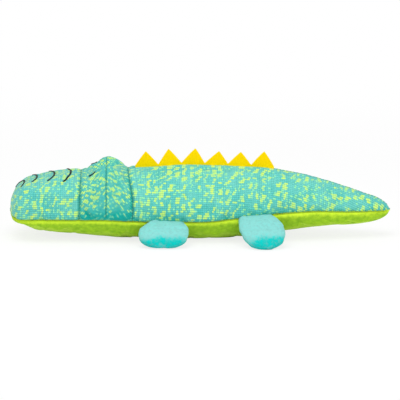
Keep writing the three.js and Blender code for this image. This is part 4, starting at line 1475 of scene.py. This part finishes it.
class CROC_OT_feet(PieceOperator):
    """Make the four padded feet, each a top, a sole and its filling"""
    bl_idname = "croc.feet"
    bl_label = "Feet"

    def execute(self, context):
        seed = 0.0
        for pair, *shape in FEET:
            for ending, side in (("_left", LEFT), ("_right", RIGHT)):
                self.make_foot(pair + ending, Pouch(pair + ending, side, shape, seed=seed))
                self.make_filling(pair + ending, side, shape)
                seed += 3.7
        return {"FINISHED"}

    def make_foot(self, name, pouch):
        feet = sizes("feet")
        local_normals = normals_of(pouch.plan)
        local_normals[-1] = (1, 0, 0)
        plan = pouch.plan + pouch.relief()[..., None] * local_normals
        points = pouch.world(plan)
        points[..., 2] = np.maximum(points[..., 2], 0.0002)
        normals = local_normals @ np.stack([pouch.outward, pouch.aside, pouch.upward])
        flat = np.stack([running_length(plan), plan[..., 1]], axis=-1)
        toeward = plan[..., 0] / pouch.length + 0.1 * lumps(plan, 0.011, 6.0 + pouch.seed)
        # rim is painted shade round the toe, less at the sides; the sole gets more painted shade all over
        rim = 0.94 * smoothstep(toeward, 0.6, 0.9) * (1 - 0.35 * smoothstep(toeward, 0.95, 1.0))
        aside = np.abs(plan[..., 1]) / (pouch.width / 2)
        rim = rim * (1 - 0.3 * smoothstep(aside + 0.1 * lumps(plan, 0.006, 9.0), 0.6, 0.95))
        turn_in = np.full(rim.shape, feet.turn_in)
        half = np.arange(feet.columns + 1)
        for part, columns, shade in (("top", half, rim),
                                     ("sole", (half + feet.columns) % (2 * feet.columns), 0.5 + 0.4 * rim)):
            mesh = panel_mesh(*(grid[:, columns] for grid in (points, normals, flat, turn_in, shade)))
            obj = add_piece(name + "_" + part + "_plush", mesh, foot_plush())
            thicken(obj, feet.cloth_thickness)
            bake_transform(obj)
            stand_for(obj, name + "_" + part, FOOT_FILL)

    def make_filling(self, name, side, shape):
        feet = sizes("feet")
        pouch = Pouch(name, side, shape, inset=feet.filling_depth)
        start = feet.fold + 0.001
        room = pouch.length - start - 2 * feet.filling_depth
        inner = pouch.plan.copy()
        inner[..., 0] = start + inner[..., 0] / pouch.length * room
        add_filling(name + "_filling_fibre", pouch.world(inner)[::3, ::3], name, name + "_filling", FOOT_FILL)


class CROC_OT_seam_stitches(PieceOperator):
    """Lay the sewing thread that shows in the body's seams"""
    bl_idname = "croc.seam_stitches"
    bl_label = "Seam stitches"

    def execute(self, context):
        made = skin()
        snout, brow, neck = made.cross_rings
        upper = slice(4, made.upper_columns - 3)
        self.sew("snout_seam_thread", made.points[snout, upper])
        self.sew("brow_seam_thread", made.points[brow, upper])
        self.sew("neck_seam_thread", made.points[neck, upper])
        self.sew("spine_seam_thread", made.points[neck + 3:-4, made.spine])
        self.sew("side_seam_thread_right", made.points[6:-6, 0])
        self.sew("side_seam_thread_left", made.points[6:-6, made.left_seam])
        return {"FINISHED"}

    def sew(self, name, line):
        threads = sizes("threads")
        places = np.arange(threads.stitch_step / 2, running_length(line)[-1], threads.stitch_step)
        stitches = []
        for _, point, tangent in on_line(line, places):
            normal = skin_tree().find_nearest(point)[1]
            stitches.append((point + 0.0001 * normal, tangent, normal, 1.0))
        lay_strands(name, stitches, thread("Seam thread", "seam_thread"), Length=threads.stitch,
                    Crown=0.0002, Thickness=threads.sewing_thread, Unevenness=0.1, Seed=7)


class CROC_OT_raised_pile(PieceOperator):
    """Raise the plush's pile along the side seams"""
    bl_idname = "croc.raised_pile"
    bl_label = "Raised pile"

    def execute(self, context):
        made = skin()
        for name, column, inward in (("right", 0, -1), ("left", made.left_seam, 1)):
            line = made.points[8:-4, column]
            beside = made.points[8:-4, (column + inward) % made.columns] - line
            self.raise_pile("belly_pile_" + name, line, beside, 11 + inward)
        return {"FINISHED"}

    def raise_pile(self, name, line, beside, seed):
        """Stands short fibres along a line, leaning from the plush beside it towards the seam."""
        pile = sizes("pile")
        rng = np.random.default_rng(seed)
        run = running_length(line)
        at = np.repeat(np.arange(0, run[-1], pile.spacing), 2)
        at = np.clip(at + rng.uniform(-1, 1, len(at)) * pile.spacing, 0, run[-1])
        places = []
        for point, side in zip(points_at(at, run, line), points_at(at, run, beside)):
            side = Vector(side).normalized()
            near, normal, _, _ = skin_tree().find_nearest(Vector(point) + 0.0012 * side)
            lean = rng.uniform(-1.1, 0.1)
            tilt = rng.uniform(-0.5, 0.5)
            direction = (normal + lean * side + tilt * normal.cross(side)).normalized()
            place = near + (0.3 * pile.length) * direction - rng.uniform(0, 0.0008) * side
            places.append((place, direction, side))
        reaches = rng.uniform(0.6, 1.2, len(places))
        fibres = [(*place, reach) for place, reach in zip(places, reaches)]
        lay_strands(name, fibres, loose_pile(), Length=pile.length, Crown=0.00015, Thickness=pile.fibre,
                    Unevenness=0.2, Seed=seed, Sides=3, Segments=2)


class CROC_OT_stage(bpy.types.Operator):
    """Set up the floor, the light and the camera"""
    bl_idname = "croc.stage"
    bl_label = "Stage"

    def execute(self, context):
        settings = sizes("stage")
        self.add_floor()
        self.add_sky(settings)
        self.add_lamp("Key", (-0.25, -0.55, 1.5), 1.3, settings.key)
        self.add_lamp("Fill", (0.9, -1.6, 0.6), 1.0, settings.fill)
        self.add_camera(settings)
        context.scene.view_settings.view_transform = "Standard"
        return {"FINISHED"}

    def add_floor(self):
        """A pale floor that fades to white away from the toy and keeps its shadow."""
        half = 6.0
        mesh = bpy.data.meshes.new("floor")
        mesh.from_pydata([(-half, -half, 0), (half, -half, 0), (half, half, 0), (-half, half, 0)], [],
                         [(0, 1, 2, 3)])
        finish = Finish("Pale floor", 0.9, specular=0)
        finish.shader.inputs["Base Color"].default_value = (0.93, 0.93, 0.93, 1)
        away = take(finish.tree, "ShaderNodeVectorMath", {0: finish.place}, "Value", operation="LENGTH")
        white = away.ranged(0.3, 0.8, 0.8, 1.0, interpolation_type="SMOOTHSTEP")
        glow = take(finish.tree, "ShaderNodeEmission", {"Color": (1, 1, 1, 1), "Strength": 1.0})
        self.show_camera(finish.tree, finish.shader, glow, "Material Output", white)
        add_piece("floor", mesh, finish.material)

    def add_sky(self, settings):
        """Soft light from all round, with white behind the floor."""
        world = bpy.data.worlds.new("Soft sky")
        world.use_nodes = True
        sky = world.node_tree.nodes["Background"]
        sky.inputs["Color"].default_value = (1, 1, 1, 1)
        sky.inputs["Strength"].default_value = settings.sky
        white = take(world.node_tree, "ShaderNodeBackground", {"Color": (1, 1, 1, 1), "Strength": 1.0})
        self.show_camera(world.node_tree, sky, white, "World Output", 1.0)
        bpy.context.scene.world = world

    def show_camera(self, tree, lit, white, output, share):
        """Mixes a share of plain white into what the camera sees, and leaves the light as it is."""
        rays = take(tree, "ShaderNodeLightPath", output="Is Camera Ray")
        mixed = put(tree, "ShaderNodeMixShader", {0: rays * share, 1: Value(lit.outputs[0]), 2: white})
        tree.links.new(mixed.outputs[0], tree.nodes[output].inputs["Surface"])

    def add_lamp(self, name, place, size, power):
        """A round lamp that shines at the toy."""
        data = bpy.data.lights.new(name, "AREA")
        data.shape = "DISK"
        data.size = size
        data.energy = power
        lamp = add_object(name, data)
        lamp.location = place
        lamp.rotation_euler = (Vector((0, 0, 0.03)) - lamp.location).to_track_quat("-Z", "Y").to_euler()

    def add_camera(self, settings):
        data = bpy.data.cameras.new("Camera")
        data.sensor_width = 36
        data.lens = data.sensor_width * settings.distance / settings.view_width
        data.clip_start, data.clip_end = 0.05, 50
        camera = add_object("Camera", data)
        back = Vector((0, -math.cos(settings.elevation), math.sin(settings.elevation)))
        camera.location = Vector((0, 0, settings.aim_height)) + settings.distance * back
        camera.rotation_euler = (-back).to_track_quat("-Z", "Y").to_euler()
        bpy.context.scene.camera = camera


OPERATORS = (
    CROC_OT_skin_panels,
    CROC_OT_body_filling,
    CROC_OT_embroidery,
    CROC_OT_spike_strip,
    CROC_OT_feet,
    CROC_OT_seam_stitches,
    CROC_OT_raised_pile,
    CROC_OT_stage,
)
GROUPS = {
    "body": BodySizes,
    "head": HeadSizes,
    "spikes": SpikeSizes,
    "feet": FootSizes,
    "threads": ThreadSizes,
    "pile": PileSizes,
    "colours": ClothColours,
    "stage": StageSettings,
}


class CROC_PT_sidebar(bpy.types.Panel):
    """Lists the pieces and their sizes"""
    bl_idname = "CROC_PT_sidebar"
    bl_label = "Cloth crocodile"
    bl_space_type = "VIEW_3D"
    bl_region_type = "UI"
    bl_category = "Crocodile"

    def draw(self, context):
        for operator in OPERATORS:
            self.layout.operator(operator.bl_idname)
        for title, group_class in GROUPS.items():
            box = self.layout.box()
            box.label(text=group_class.__doc__)
            for label in group_class.__annotations__:
                box.prop(sizes(title), label)


CLASSES = (*GROUPS.values(), *OPERATORS, CROC_PT_sidebar)


def register():
    for made in CLASSES:
        bpy.utils.register_class(made)
    for title, group_class in GROUPS.items():
        setattr(bpy.types.Scene, "croc_" + title, PointerProperty(type=group_class))


def unregister():
    for title in GROUPS:
        delattr(bpy.types.Scene, "croc_" + title)
    for made in reversed(CLASSES):
        bpy.utils.unregister_class(made)


def main():
    register()
    bpy.ops.croc.skin_panels()
    bpy.ops.croc.body_filling()
    bpy.ops.croc.embroidery()
    bpy.ops.croc.spike_strip()
    bpy.ops.croc.feet()
    bpy.ops.croc.seam_stitches()
    bpy.ops.croc.raised_pile()
    bpy.ops.croc.stage()


if __name__ == "__main__":
    main()
